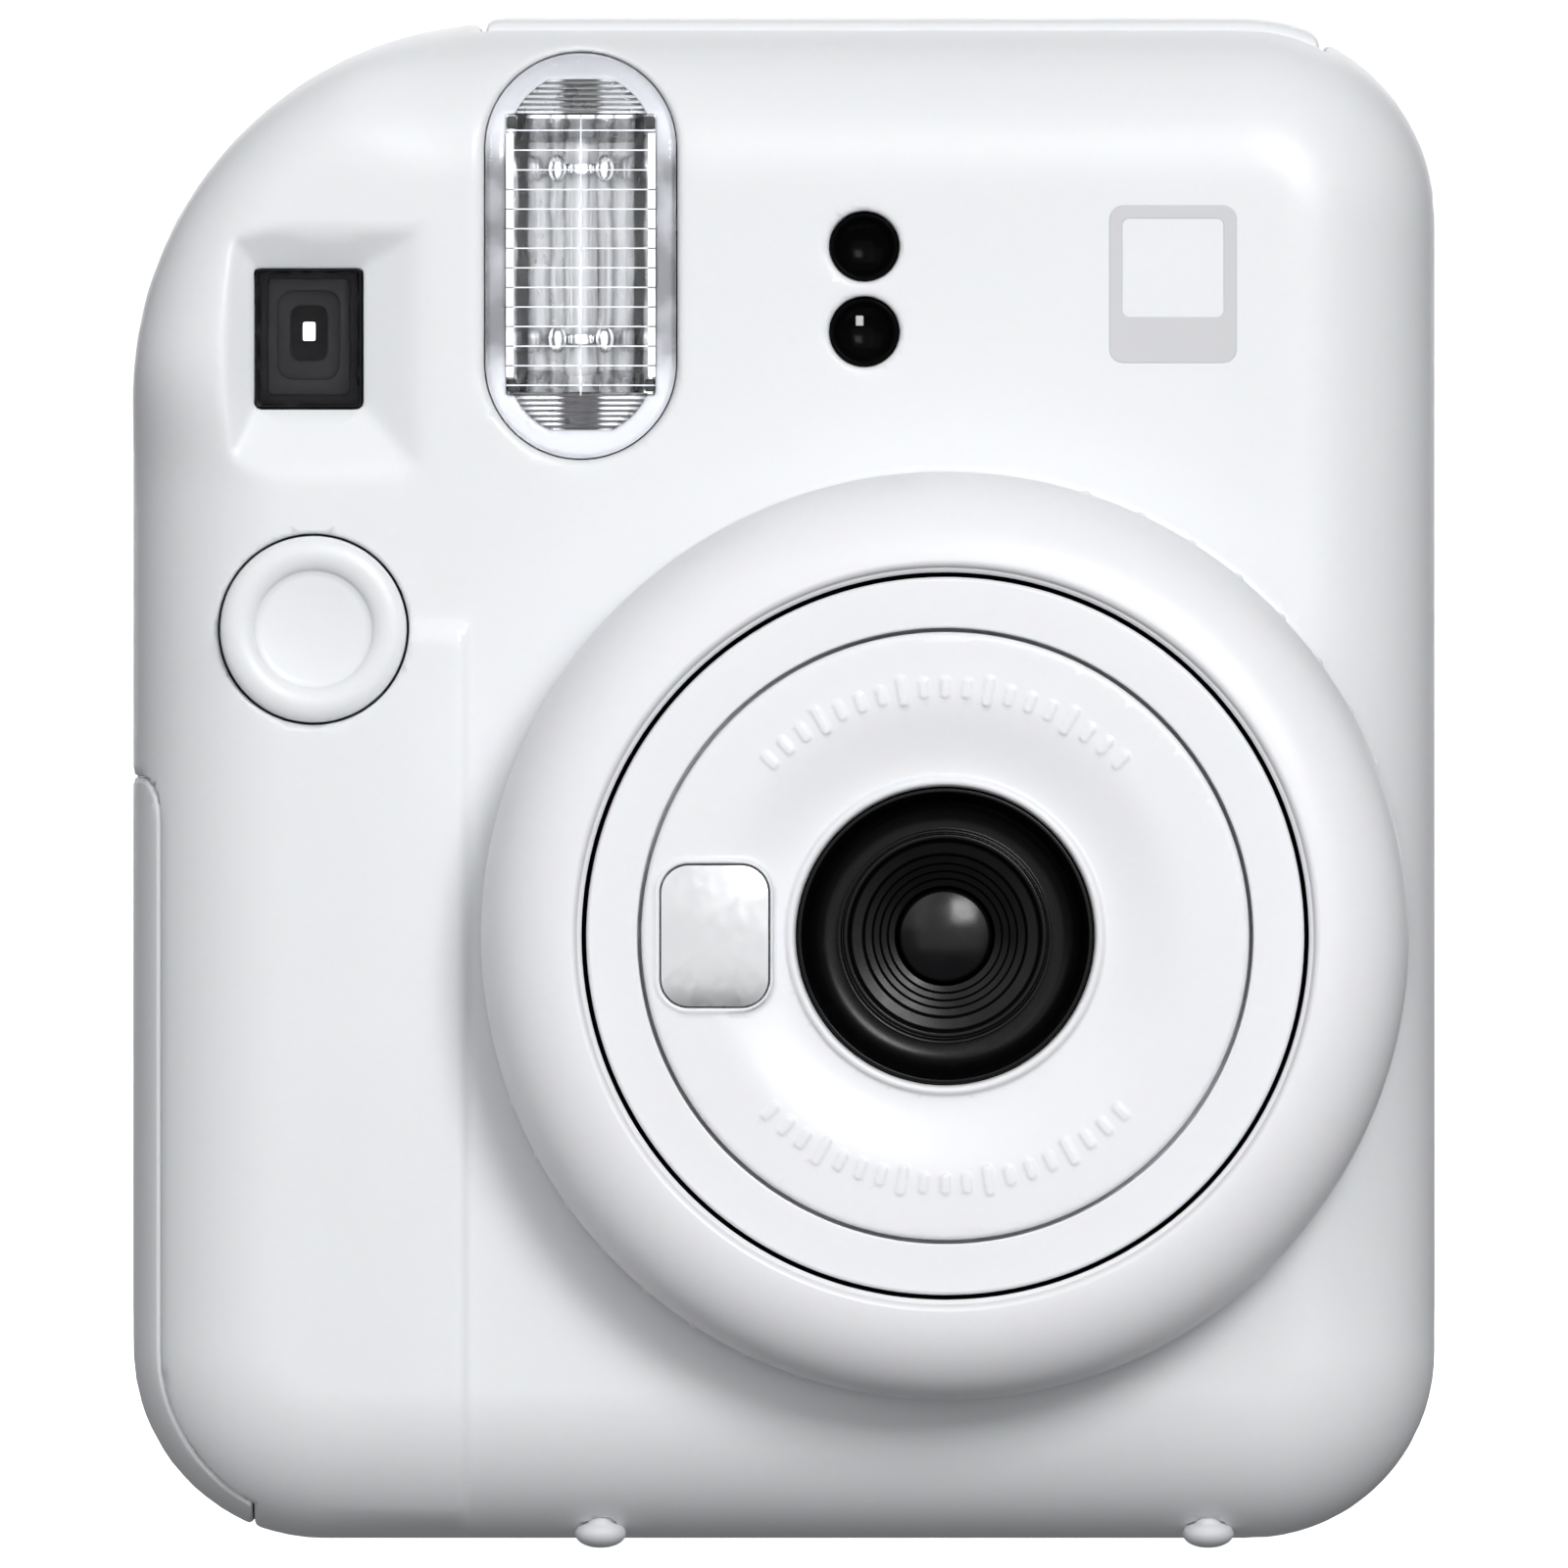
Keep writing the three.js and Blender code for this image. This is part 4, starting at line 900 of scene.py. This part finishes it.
def front_plate():
    """A shallow funnel with a raised lip, a pocket for the mirror and two arcs of raised ticks."""
    low, high = mm_box("lens_front_plate")
    g = Grid((low[0], low[1] - 0.3, low[2]), high, 0.16)
    r = np.hypot(g.x - LENS_X, g.z - LENS_Z)
    part = np.clip((19.5 - r) / 6.5, 0, 1)
    face = PLATE_FRONT + ease(part, 0.95)
    plate = common(face - g.y, g.y + 30.6 - 0.9 * part)
    plate = common(plate, r - PLATE_RADIUS, 0.5)
    lip = np.hypot(r - 12.3, g.y - (PLATE_FRONT + 0.9)) - 0.35
    plate = join(plate, common(lip, g.y + 30), 0.25)
    plate = carve(plate, r - HOOD_MOUTH - 0.1, 0.25)
    ticks = common(plate_ticks(g, r), slab(g.y, PLATE_FRONT - 0.12, PLATE_FRONT + 0.6))
    plate = join(plate, ticks, 0.25)
    center = middle("selfie_mirror")[::2]
    plate = join(plate, panel(g, center, (9.3, 12.0), 2.6, PLATE_FRONT - 0.1, -31), 0.4)
    plate = carve(plate, panel(g, center, (8.75, 11.45), 2.3, high=-31.0), 0.2)
    piece = moulded("lens_front_plate", g, plate, "ring_white", body="lens_group")
    piece.name = "visual_front_plate"


def rounded_outline(width, height, radius, corner_steps=10):
    points = []
    for i, (sx, sz) in enumerate(((1, 1), (-1, 1), (-1, -1), (1, -1))):
        for step in range(corner_steps + 1):
            angle = math.pi / 2 * (i + step / corner_steps)
            points.append((sx * (width / 2 - radius) + radius * math.cos(angle),
                           sz * (height / 2 - radius) + radius * math.sin(angle)))
    return points


def selfie_mirror():
    """A rounded-rectangle slab whose front face bulges like a shallow dome."""
    low, high = mm_box("selfie_mirror")
    x, _, z = middle("selfie_mirror")
    front, bulge, chamfer = low[1] - 0.05, 0.4, 0.15
    outline = rounded_outline(high[0] - low[0], high[2] - low[2], 2.2)
    corner = max(math.hypot(u, v) for u, v in outline)
    bm = bmesh.new()

    def ring(scale, depth=None, behind=0.0):
        """The outline at a scale, on the domed face or at a depth of its own."""
        verts = []
        for u, v in outline:
            y = depth or front + bulge * (scale * math.hypot(u, v) / corner) ** 2 + behind
            verts.append(bm.verts.new(Vector((x + scale * u, y, z + scale * v)) * MM))
        return verts

    rings = [ring(s / 14) for s in range(1, 15)] + [ring(1, behind=chamfer), ring(1, depth=high[1])]
    heart = bm.verts.new(Vector((x, front, z)) * MM)
    for i in range(len(outline)):
        j = (i + 1) % len(outline)
        bm.faces.new((heart, rings[0][i], rings[0][j]))
        for inner, outer in zip(rings, rings[1:]):
            bm.faces.new((inner[i], outer[i], outer[j], inner[j]))
    bm.faces.new(rings[-1])
    bmesh.ops.recalc_face_normals(bm, faces=bm.faces)
    mesh = mesh_from(bm, "selfie_mirror")
    mesh.set_sharp_from_angle(angle=math.radians(40))
    add_piece("selfie_mirror", mesh, "mirror", body="lens_group")


def lens_hood():
    """Black funnel: a smooth cone, a rounded shelf, then fine steps down to the seat of the front lens."""
    profile = rounded([
        (11.45, -31.6, 0.12), (HOOD_MOUTH, -31.6, 0.12), (HOOD_MOUTH, -22, 0.1), (5.5, -22, 0.1),
        (5.5, -20.6, 0.1), (3.2, -20.6, 0), (3.2, -23.6, 0), (3.95, -23.6, 0), (3.95, -25.5, 0.1),
        (4.5, -25.6, 0.12), (4.6, -26.0, 0.1), (5.1, -26.1, 0.12), (5.2, -26.5, 0.1), (5.7, -26.6, 0.12),
        (5.8, -27.0, 0.1), (6.4, -27.1, 0.15), (6.55, -27.6, 0.15), (7.5, -27.7, 0.25), (7.7, -28.5, 0.2),
        (8.1, -28.5, 0.2), (8.3, -28.0, 0.25),
    ])
    shelf = [np.array([8.3 + 2.5 * t, -27.5 - 1.2 * t ** 3.6]) for t in np.linspace(0.06, 1, 14)]
    cone = [np.array([10.8 + 0.62 * t, -28.7 - 2.8 * t]) for t in np.linspace(0.1, 1, 6)]
    on_lens_axis("lens_hood", profile + shelf + cone, "hood_black", slot="black_plastic")


def front_lens():
    """The convex front element, opaque and glossy, its black colour painted shade for the dark inside of the
    lens seen through the glass, with the blackened ring and inner element behind it.
    """
    dome = bowl(3.7, -25.9, 0.62, 14) + [(3.7, -24.4), (0, -24.1)]
    on_lens_axis("front_lens", dome, "front_glass", 96, closed=False, slot="glass")
    iris = rounded([(2.2, -23.9, 0.1), (2.6, -24.0, 0.1), (3.1, -23.3, 0.1), (3.1, -22.2, 0),
                    (2.2, -22.2, 0)])
    on_lens_axis("lens_iris_ring", iris, "hood_black", 96, slot="black_plastic")
    inner = bowl(2.2, -23.0, 0.3, 10) + [(2.2, -22.2), (0, -22.2)]
    on_lens_axis("lens_inner_element", inner, "black_gloss", 96, closed=False)


# ---- front controls and windows ----

def shutter_button():
    """A dished cap inside a rounded rim."""
    rim_x, rim_y = 6.05, -18.35
    dish = bowl(4.6, -18.15, -0.25, 10)
    rim = [(rim_x + 1.38 * (x - rim_x), rim_y + 0.8 * (y - rim_y))
           for x, y in arc((rim_x, rim_y), 1.0, 190, 360, 16)]
    skirt = rounded([(BUTTON_RADIUS, -12.9, 0), (8.5, -12.9, 0.2), (8.5, -11.9, 0.2), (2, -11.9, 0),
                     (2, -11.2, 0.2)])
    turned("shutter_button", dish + rim + skirt + [(0, -11.2)], (BUTTON_X, 0, BUTTON_Z), "case_white",
           segments=128, closed=False, body="button")


def sensor_windows():
    """Glossy black bowls with a fine chamfer. The lower one has a small square receiver in it."""
    front = FRONT_PLANE + 0.25
    hollow = [(0, 1.25), (0.5, 1.22), (1.0, 1.12), (1.5, 0.92), (1.95, 0.62), (2.25, 0.25), (2.4, 0.08),
              (2.5, 0), (2.6, 0.02), (SENSOR_RADIUS, 0.2)]
    profile = [(radius, front + depth) for radius, depth in hollow] + [(SENSOR_RADIUS, -15), (0, -15)]
    for node in SENSORS:
        x, z = sensor_center(node)
        turned(node, profile, (x, 0, z), "sensor_black", segments=96, closed=False,
               slot="black_gloss")
    x, z = sensor_center(SENSORS[1])
    low, high = (x - 0.7, front + 0.75, z + 0.48), (x - 0.05, front + 1.35, z + 1.3)
    g = Grid(low, high, 0.05)
    moulded("flash_sensor_chip", g, block(g, low, high, 0.08), "grey_plastic")


def viewfinder():
    """A smoked pane in a black frame, with stepped masks behind it that close in on the sight opening."""
    x, z = FINDER_X, FINDER_Z
    front = mm_box("viewfinder_window")[0][1]
    low, high = (x - 3.95, front + 0.15, z - 5.25), (x + 3.95, front + 0.95, z + 5.25)
    g = Grid(low, high, 0.12)
    moulded("viewfinder_window", g, block(g, low, high, 0.1), "finder_pane", slot="black_gloss")
    outer = (FINDER_WIDTH, FINDER_HEIGHT)
    masks = [
        ("hood_black", (7.9, 10.5), 0.2, (front - 0.1, -15.0)),
        ("finder_dark", (6.4, 9.2), 0.4, (-14.7, -13.9)),
        ("finder_grey", (4.9, 7.0), 1.2, (-13.5, -12.7)),
        ("finder_grey", (2.9, 4.4), 0.9, (-12.3, -11.5)),
        ("finder_dark", (1.0, 1.5), 0.12, (-11.1, -10.3)),
    ]
    for i, (look, opening, corner, (y0, y1)) in enumerate(masks):
        g = Grid((x - outer[0] / 2, y0, z - outer[1] / 2), (x + outer[0] / 2, y1, z + outer[1] / 2), 0.11)
        hole = rectangle(g.x, g.z, (x, z + 0.15 * i), opening, corner)
        ring = carve(rectangle(g.x, g.z, (x, z), outer, 0.1), hole, 0.2)
        mask = common(ring, slab(g.y, y0, y1), 0.2)
        moulded(f"viewfinder_mask_{i + 1}", g, mask, look, slot="black_plastic")


def eyepiece():
    """A black frame with a cupped opening and a seat for the eyepiece lens."""
    low, high = mm_box("eyepiece_frame")
    g = Grid(low, high, 0.16)
    center, seat_y = (FINDER_X, FINDER_Z), 30.6
    rim = common(rectangle(g.x, g.z, center, (12.4, 15.4), 2.6), slab(g.y, low[1], high[1]), 1.4)
    cup = rectangle(g.x, g.z, center, (7.6, 10.2), 1.5) - np.clip(g.y - seat_y, 0, 3) * 0.55
    rim = carve(rim, cup, 0.5)
    rim = carve(rim, panel(g, center, (9.6, 12.2), 1.5, high=seat_y))
    moulded("eyepiece_frame", g, rim, "black_plastic")


def door_latch():
    """A ribbed thumb piece outside, joined by a stem to the hook inside."""
    x, z = LATCH_X, LATCH_Z
    g = Grid(*mm_box("door_latch"), 0.14)
    thumb = block(g, (x - 2.3, 31.6, z - 8), (x + 2.3, 32.6, z + 8), 0.4)
    for rise in (-5, -2.5, 0, 2.5, 5):
        rib_z = z + rise
        thumb = join(thumb, block(g, (x - 2.0, 32.3, rib_z - 0.5), (x + 2.0, 33.1, rib_z + 0.5), 0.3), 0.4)
    stem = block(g, (x - 0.6, 29.6, z - 4), (x + 0.6, 31.8, z + 4))
    hook = block(g, (x - 2.2, 27.9, z - 7), (x + 3.5, 29.7, z + 7), 0.3)
    latch = join(thumb, join(stem, hook), 0.2)
    moulded("door_latch", g, latch, "grey_plastic", slot="case_white", body="latch")


def front_emblem():
    """A plain print-frame pictogram, printed pale grey on the upper right of the front."""
    x, z = 31.0, 100.8
    g = Grid((x - 5.4, FRONT_PLANE - 0.06, z - 6.6), (x + 5.4, FRONT_PLANE + 0.06, z + 6.6), 0.08)
    card = rectangle(g.x, g.z, (x, z), (10.2, 12.6), 1.1)
    picture = rectangle(g.x, g.z, (x, z + 1.3), (8.0, 7.8), 0.5)
    icon = common(carve(card, picture), slab(g.y, FRONT_PLANE - 0.04, FRONT_PLANE + 0.06))
    moulded("front_emblem", g, icon, "emblem", slot="grey_plastic")


# ---- flash ----

def flash_window():
    """A clear lens of even thickness that follows the case's edge."""
    g = Grid(FLASH_LOW, FLASH_HIGH, 0.17)
    solid = case_solid(g)
    window = common(common(solid, -(solid + 1.0)), flash_outline(g, 0), 0.5)
    moulded("flash_window", g, window, "clear_plastic")


def flash_bezel():
    """Grey moulded frame behind the window's rim, open over the ribs and the reflector; its grey carries
    painted light and shade.
    """
    g = Grid((FLASH_LOW[0], FLASH_LOW[1] + 0.9, FLASH_LOW[2]), FLASH_HIGH, 0.17)
    solid = case_solid(g)
    beyond = np.abs(g.z - FLASH_Z)
    ribs = common(flash_outline(g, -1.75), common(MOUTH_HEIGHT / 2 - beyond, beyond - RIB_REACH))
    mouth = rectangle(g.x, g.z, (FLASH_X, FLASH_Z), (MOUTH_WIDTH, MOUTH_HEIGHT), 0.2)
    bezel = common(common(solid + 1.15, -(solid + 2.1)), flash_outline(g, -0.1), 0.4)
    bezel = carve(bezel, join(ribs, mouth), 0.3)
    moulded("flash_bezel", g, bezel, "bezel_painted_light_and_shade", slot="clear_plastic")


def case_front(x, z, inset):
    """Where the front of the case is at x and z, that far under its surface."""
    around = float(case_outline(np.float32(x), np.float32(z))) + EDGE_FILLET
    if around <= 0:
        return FRONT_PLANE + inset
    radius = EDGE_FILLET - inset
    return FRONT_PLANE + EDGE_FILLET - math.sqrt(max(radius * radius - around * around, 0.04))


def flash_ribs():
    """Silvered cross ribs above and below the reflector."""
    half_width = FLASH_WIDTH / 2 - 1.7
    straight = FLASH_HEIGHT / 2 - FLASH_WIDTH / 2
    for name, side in (("upper", 1), ("lower", -1)):
        rows = []
        for rise in np.arange(MOUTH_HEIGHT / 2, RIB_REACH + 0.1, 0.045):
            beyond = max(rise - straight, 0)
            reach = math.sqrt(max(half_width ** 2 - beyond ** 2, 0.01))
            reach = min(reach, MOUTH_WIDTH / 2 + 0.1)
            rib = 0.11 * math.cos(2 * math.pi * rise / RIB_PITCH)
            z = FLASH_Z + side * rise
            columns = [FLASH_X + reach * t for t in np.linspace(-1, 1, 9)]
            rows.append([(x, case_front(x, z, 1.75) + rib, z) for x in columns])
        sheet_solid(f"flash_ribs_{name}", rows, 0.3, "ribbed_silver_painted_light", slot="mirror")


def bar(bm, center, width, height, steps=1):
    """A thin bar just behind the flash window, from its middle (dx, dz), width and height."""
    heights = np.linspace(center[1] - height / 2, center[1] + height / 2, steps + 1)
    left, right = center[0] - width / 2, center[0] + width / 2
    for z_low, z_high in zip(heights, heights[1:]):
        corners = []
        for dx, dz in ((left, z_low), (right, z_low), (right, z_high), (left, z_high)):
            x, z = FLASH_X + dx, FLASH_Z + dz
            y = case_front(x, z, 1.1)
            corners.append([bm.verts.new(Vector((x, y + back, z)) * MM) for back in (0, 0.05)])
        near, far = [pair[0] for pair in corners], [pair[1] for pair in corners]
        bm.faces.new(near)
        bm.faces.new(far[::-1])
        for i in range(4):
            bm.faces.new((near[i], far[i], far[(i + 1) % 4], near[(i + 1) % 4]))
    bmesh.ops.recalc_face_normals(bm, faces=bm.faces)


def flash_lines():
    """Fine moulded lines behind the window: rows of thin bars, a pale bar at each side as a painted highlight
    of the reflector's bright edges, and a dark one between.
    """
    pale, dark = bmesh.new(), bmesh.new()
    for dz in np.arange(0.8 - MOUTH_HEIGHT / 2, MOUTH_HEIGHT / 2, LINE_PITCH):
        bar(pale, (0, dz), MOUTH_WIDTH, LINE_WIDTH)
    # Painted highlight: the pale side bars stand where the reflector shows bright edges.
    for dx in (-SIDE_BAR_X, SIDE_BAR_X):
        bar(pale, (dx, 0), SIDE_BAR_WIDTH, 2 * SIDE_BAR_REACH, 24)
    bar(dark, (0, 0), 0.1, MOUTH_HEIGHT, 24)
    for name, bm, look in (("flash_window_lines", pale, "bezel_white"), ("flash_centre_line", dark, "steel")):
        add_piece(name, mesh_from(bm, name, smooth=False), look, slot="clear_plastic")


def flash_reflector():
    """A fluted trough, with slanted end walls that reach the mouth behind the window."""
    half, depth, front = MOUTH_WIDTH / 2, 9.0, FRONT_PLANE + 2.2
    z0, z1 = FLASH_Z - MOUTH_HEIGHT / 2, FLASH_Z + MOUTH_HEIGHT / 2
    rows = []
    for z, squeeze in ((z0, 1.0), (z0 + 1.9, 0.02), (z1 - 1.9, 0.02), (z1, 1.0)):
        row = []
        for t in np.linspace(-1, 1, 17):
            wall = min(1.0, (1 - abs(t)) * 5)
            y = front + depth * wall * (1 - 0.75 * t * t)
            row.append((FLASH_X + half * t, y + (front - y) * squeeze, z))
        rows.append(row)
    piece = sheet_solid("flash_reflector", rows, 0.3, "fluted", slot="mirror")
    for polygon in piece.data.polygons:
        polygon.use_smooth = False


def flash_tube():
    """Xenon tube with its two bands, and two pairs of polished beads beside each band."""
    x, y, _ = middle("flash_tube")
    low, high = mm_box("flash_tube")
    z0, z1 = low[2] + 2, high[2] - 2
    tube = rounded([(1.3, z0, 0.5), (1.3, z1, 0.5), (0.75, z1, 0), (0.75, z0, 0)])
    turned("flash_tube", tube, (x, y, 0), "tube_glass", axis="z", segments=48, slot="glass")
    beads = bmesh.new()
    for i, z in enumerate((FLASH_Z - 6.6, FLASH_Z + 7.0)):
        band = rounded([(1.34, z - 0.4, 0.1), (1.45, z - 0.4, 0.1), (1.45, z + 0.4, 0.1),
                        (1.34, z + 0.4, 0.1)])
        turned(f"flash_tube_band_{i + 1}", band, (x, y, 0), "rib_silver", axis="z", segments=40, slot="steel")
        for dx, size in ((-4.3, 0.55), (-1.9, 0.75), (1.9, 0.75), (4.3, 0.55)):
            bead = bmesh.ops.create_icosphere(beads, subdivisions=3, radius=size * MM)
            bmesh.ops.scale(beads, verts=bead["verts"], vec=(1, 1, 1.5))
            bmesh.ops.translate(beads, verts=bead["verts"], vec=Vector((x + dx, y - 1.2, z)) * MM)
    add_piece("flash_beads", mesh_from(beads, "flash_beads"), "rib_silver", slot="steel")


def flash_clips():
    """Dark clips at the four corners of the reflector's mouth."""
    x = middle("flash_tube")[0]
    for i, (dx, dz) in enumerate(((-5.5, 10.5), (5.5, 10.5), (-5.5, -10.4), (5.5, -10.4))):
        low = (x + dx - 0.4, FRONT_PLANE + 1.9, FLASH_Z + dz - 0.45)
        high = (x + dx + 0.4, FRONT_PLANE + 2.7, FLASH_Z + dz + 0.55)
        g = Grid(low, high, 0.1)
        moulded(f"flash_corner_clip_{i + 1}", g, block(g, low, high, 0.12), "black_plastic")


# ---- film path and inner pieces ----

def film_rollers():
    """Rubber sleeves on the two rollers, a little thinner in the middle."""
    half, grip, waist, bore = 27, 4.06, 3.85, 1.3
    left = [(bore, -half, 0), (grip, -half, 0.3), (grip, -14, 0.2), (waist, -13.8, 0.2)]
    right = [(radius, -x, fillet) for radius, x, fillet in left[::-1]]
    sleeve = rounded([(radius, LENS_X + x, fillet) for radius, x, fillet in left + right])
    for node, body in (("film_roller_front", "roller_front"), ("film_roller_rear", "roller_rear")):
        _, y, z = middle(node)
        turned(f"{node}_sleeve", sleeve, (0, y, z), "sleeve_black", axis="x", segments=64, slot="steel",
               body=body)


def counter_marks():
    """Ten plain dots round the film counter's dial."""
    x, _, z = middle("counter_dial")
    face = mm_box("counter_dial")[1][1] + 0.02
    reach = 4.6
    bm = bmesh.new()
    for i in range(10):
        angle = math.radians(90 + 33 * i)
        center = Vector((x + reach * math.cos(angle), face, z + reach * math.sin(angle))) * MM
        dot = bmesh.ops.create_cone(bm, cap_ends=True, segments=20, radius1=0.55 * MM, radius2=0.5 * MM,
                                    depth=0.06 * MM)
        for vert in dot["verts"]:
            vert.co = center + Vector((vert.co.x, -vert.co.z, vert.co.y))
    mesh = mesh_from(bm, "counter_dial_dots", smooth=False)
    add_piece("counter_dial_dots", mesh, "gear_plastic", body="dial")


CAD_NODES_KEPT = {
    "steel": ("hinge_pin_lower", "hinge_pin_upper", "ring_retainer", "guide_screw_1", "guide_screw_2",
              "shutter_blade", "battery_contact_upper", "battery_contact_lower", "film_roller_front",
              "film_roller_rear", "film_motor", "film_pick"),
    "black_plastic": ("film_pressure_plate", "counter_dial", "barrel_guide", "shutter_plate",
                      "viewfinder_tube", "shutter_switch", "battery_tray", "dark_box", "film_chamber"),
    "clear_plastic": ("counter_window", "viewfinder_lens", "eyepiece_lens"),
    "dark_clear": ("door_window",),
    "sleeve_black": ("flash_capacitor",),
    "circuit_board": ("button_board", "main_board"),
    "battery_jacket": ("battery_front", "battery_rear"),
    "gear_plastic": ("idler_gear", "motor_pinion"),
}


def finish_cad_nodes():
    for look, nodes in CAD_NODES_KEPT.items():
        for node in nodes:
            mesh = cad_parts[node].data
            mesh.materials.clear()
            mesh.materials.append(LOOKS[look])


# ---- stage, lights and camera ----

def build_stage():
    """A white floor that sweeps up into a round white wall, far enough away for a camera on any side."""
    profile = [(0, 0), (7000, 0), *arc((7000, 1000), 1000, -90, 0, 10)[1:], (8000, 9000)]
    mesh = turned_mesh("stage", profile, (0, 0, 0), "z", 96, False)
    look, tree, shader = new_look("white stage", (0.9, 0.9, 0.91), 0.9, Emission_Color=(1, 1, 1, 1),
                                  Emission_Strength=0.9)
    tint(shader, texture_noise(tree, 3), (0.895, 0.895, 0.905), (0.905, 0.905, 0.915))
    mesh.materials.append(look)
    stage = bpy.data.objects.new("stage", mesh)
    bpy.context.scene.collection.objects.link(stage)
    stage.visible_diffuse = False
    stage.visible_glossy = False


def softbox(name, side, up, distance, size, radiance):
    """A square light aimed at the object, placed by its angles right of and above the front axis."""
    side, up = math.radians(side), math.radians(up)
    away = Vector((math.sin(side) * math.cos(up), -math.cos(side) * math.cos(up), math.sin(up)))
    light = bpy.data.lights.new(name, "AREA")
    light.size = size
    light.energy = radiance * math.pi * size * size
    lamp = bpy.data.objects.new(name, light)
    lamp.location = Vector((0, 0, 0.06)) + away * distance
    lamp.rotation_euler = away.to_track_quat("Z", "Y").to_euler()
    lamp.visible_camera = False
    bpy.context.scene.collection.objects.link(lamp)


def build_lights():
    """A broad card in front, two keys, a faint softbox above and a card behind."""
    softbox("front card", 5, 17, 1.7, 1.9, 0.88)
    softbox("upper left key", -34, 26, 1.5, 1.1, 0.7)
    softbox("upper right key", 16, 20, 1.5, 0.45, 17)
    softbox("top softbox", 0, 85, 1.2, 0.6, 0.15)
    softbox("back card", 180, 25, 1.7, 1.6, 1.6)


def build_sky():
    """A sky that darkens towards the floor and towards the right."""
    world = bpy.data.worlds.new("studio")
    world.use_nodes = True
    tree = world.node_tree
    where = add_node(tree, "TexCoord", {}).outputs["Generated"]
    slope = add_node(tree, "VectorMath", {0: where, 1: (-0.5, 0.0, 0.86)}, operation="DOT_PRODUCT")
    strength = remap(tree, slope.outputs["Value"], -1.0, 1.0, 0.14, 0.31)
    background = tree.nodes["Background"]
    tree.links.new(strength, background.inputs["Strength"])
    background.inputs["Color"].default_value = (0.97, 0.98, 1, 1)
    bpy.context.scene.world = world


def build_camera():
    """A very long lens, square-on to the front. The view is width metres wide at the case's flat sides."""
    width, height = 0.1253, 0.06097
    data = bpy.data.cameras.new("view camera")
    data.sensor_width = 36
    data.lens = 1200
    data.clip_end = 20
    distance = width * data.lens / data.sensor_width
    camera = bpy.data.objects.new("view camera", data)
    camera.location = (0, (FRONT_PLANE + EDGE_FILLET) * MM - distance, height)
    camera.rotation_euler = (math.pi / 2, 0, 0)
    bpy.context.scene.collection.objects.link(camera)
    bpy.context.scene.camera = camera


for build in (
    finish_cad_nodes, front_shell, rear_shell, top_cover, back_door, battery_door, strap_lug, feet,
    case_screws, twist_ring, ring_grip_bumps, lens_barrel, front_plate, selfie_mirror, lens_hood, front_lens,
    shutter_button, sensor_windows, viewfinder, eyepiece, door_latch, front_emblem, flash_window, flash_bezel,
    flash_ribs, flash_lines, flash_reflector, flash_tube, flash_clips, film_rollers, counter_marks,
    build_stage, build_lights, build_sky, build_camera,
):
    build()

bpy.context.scene.view_settings.view_transform = "Standard"
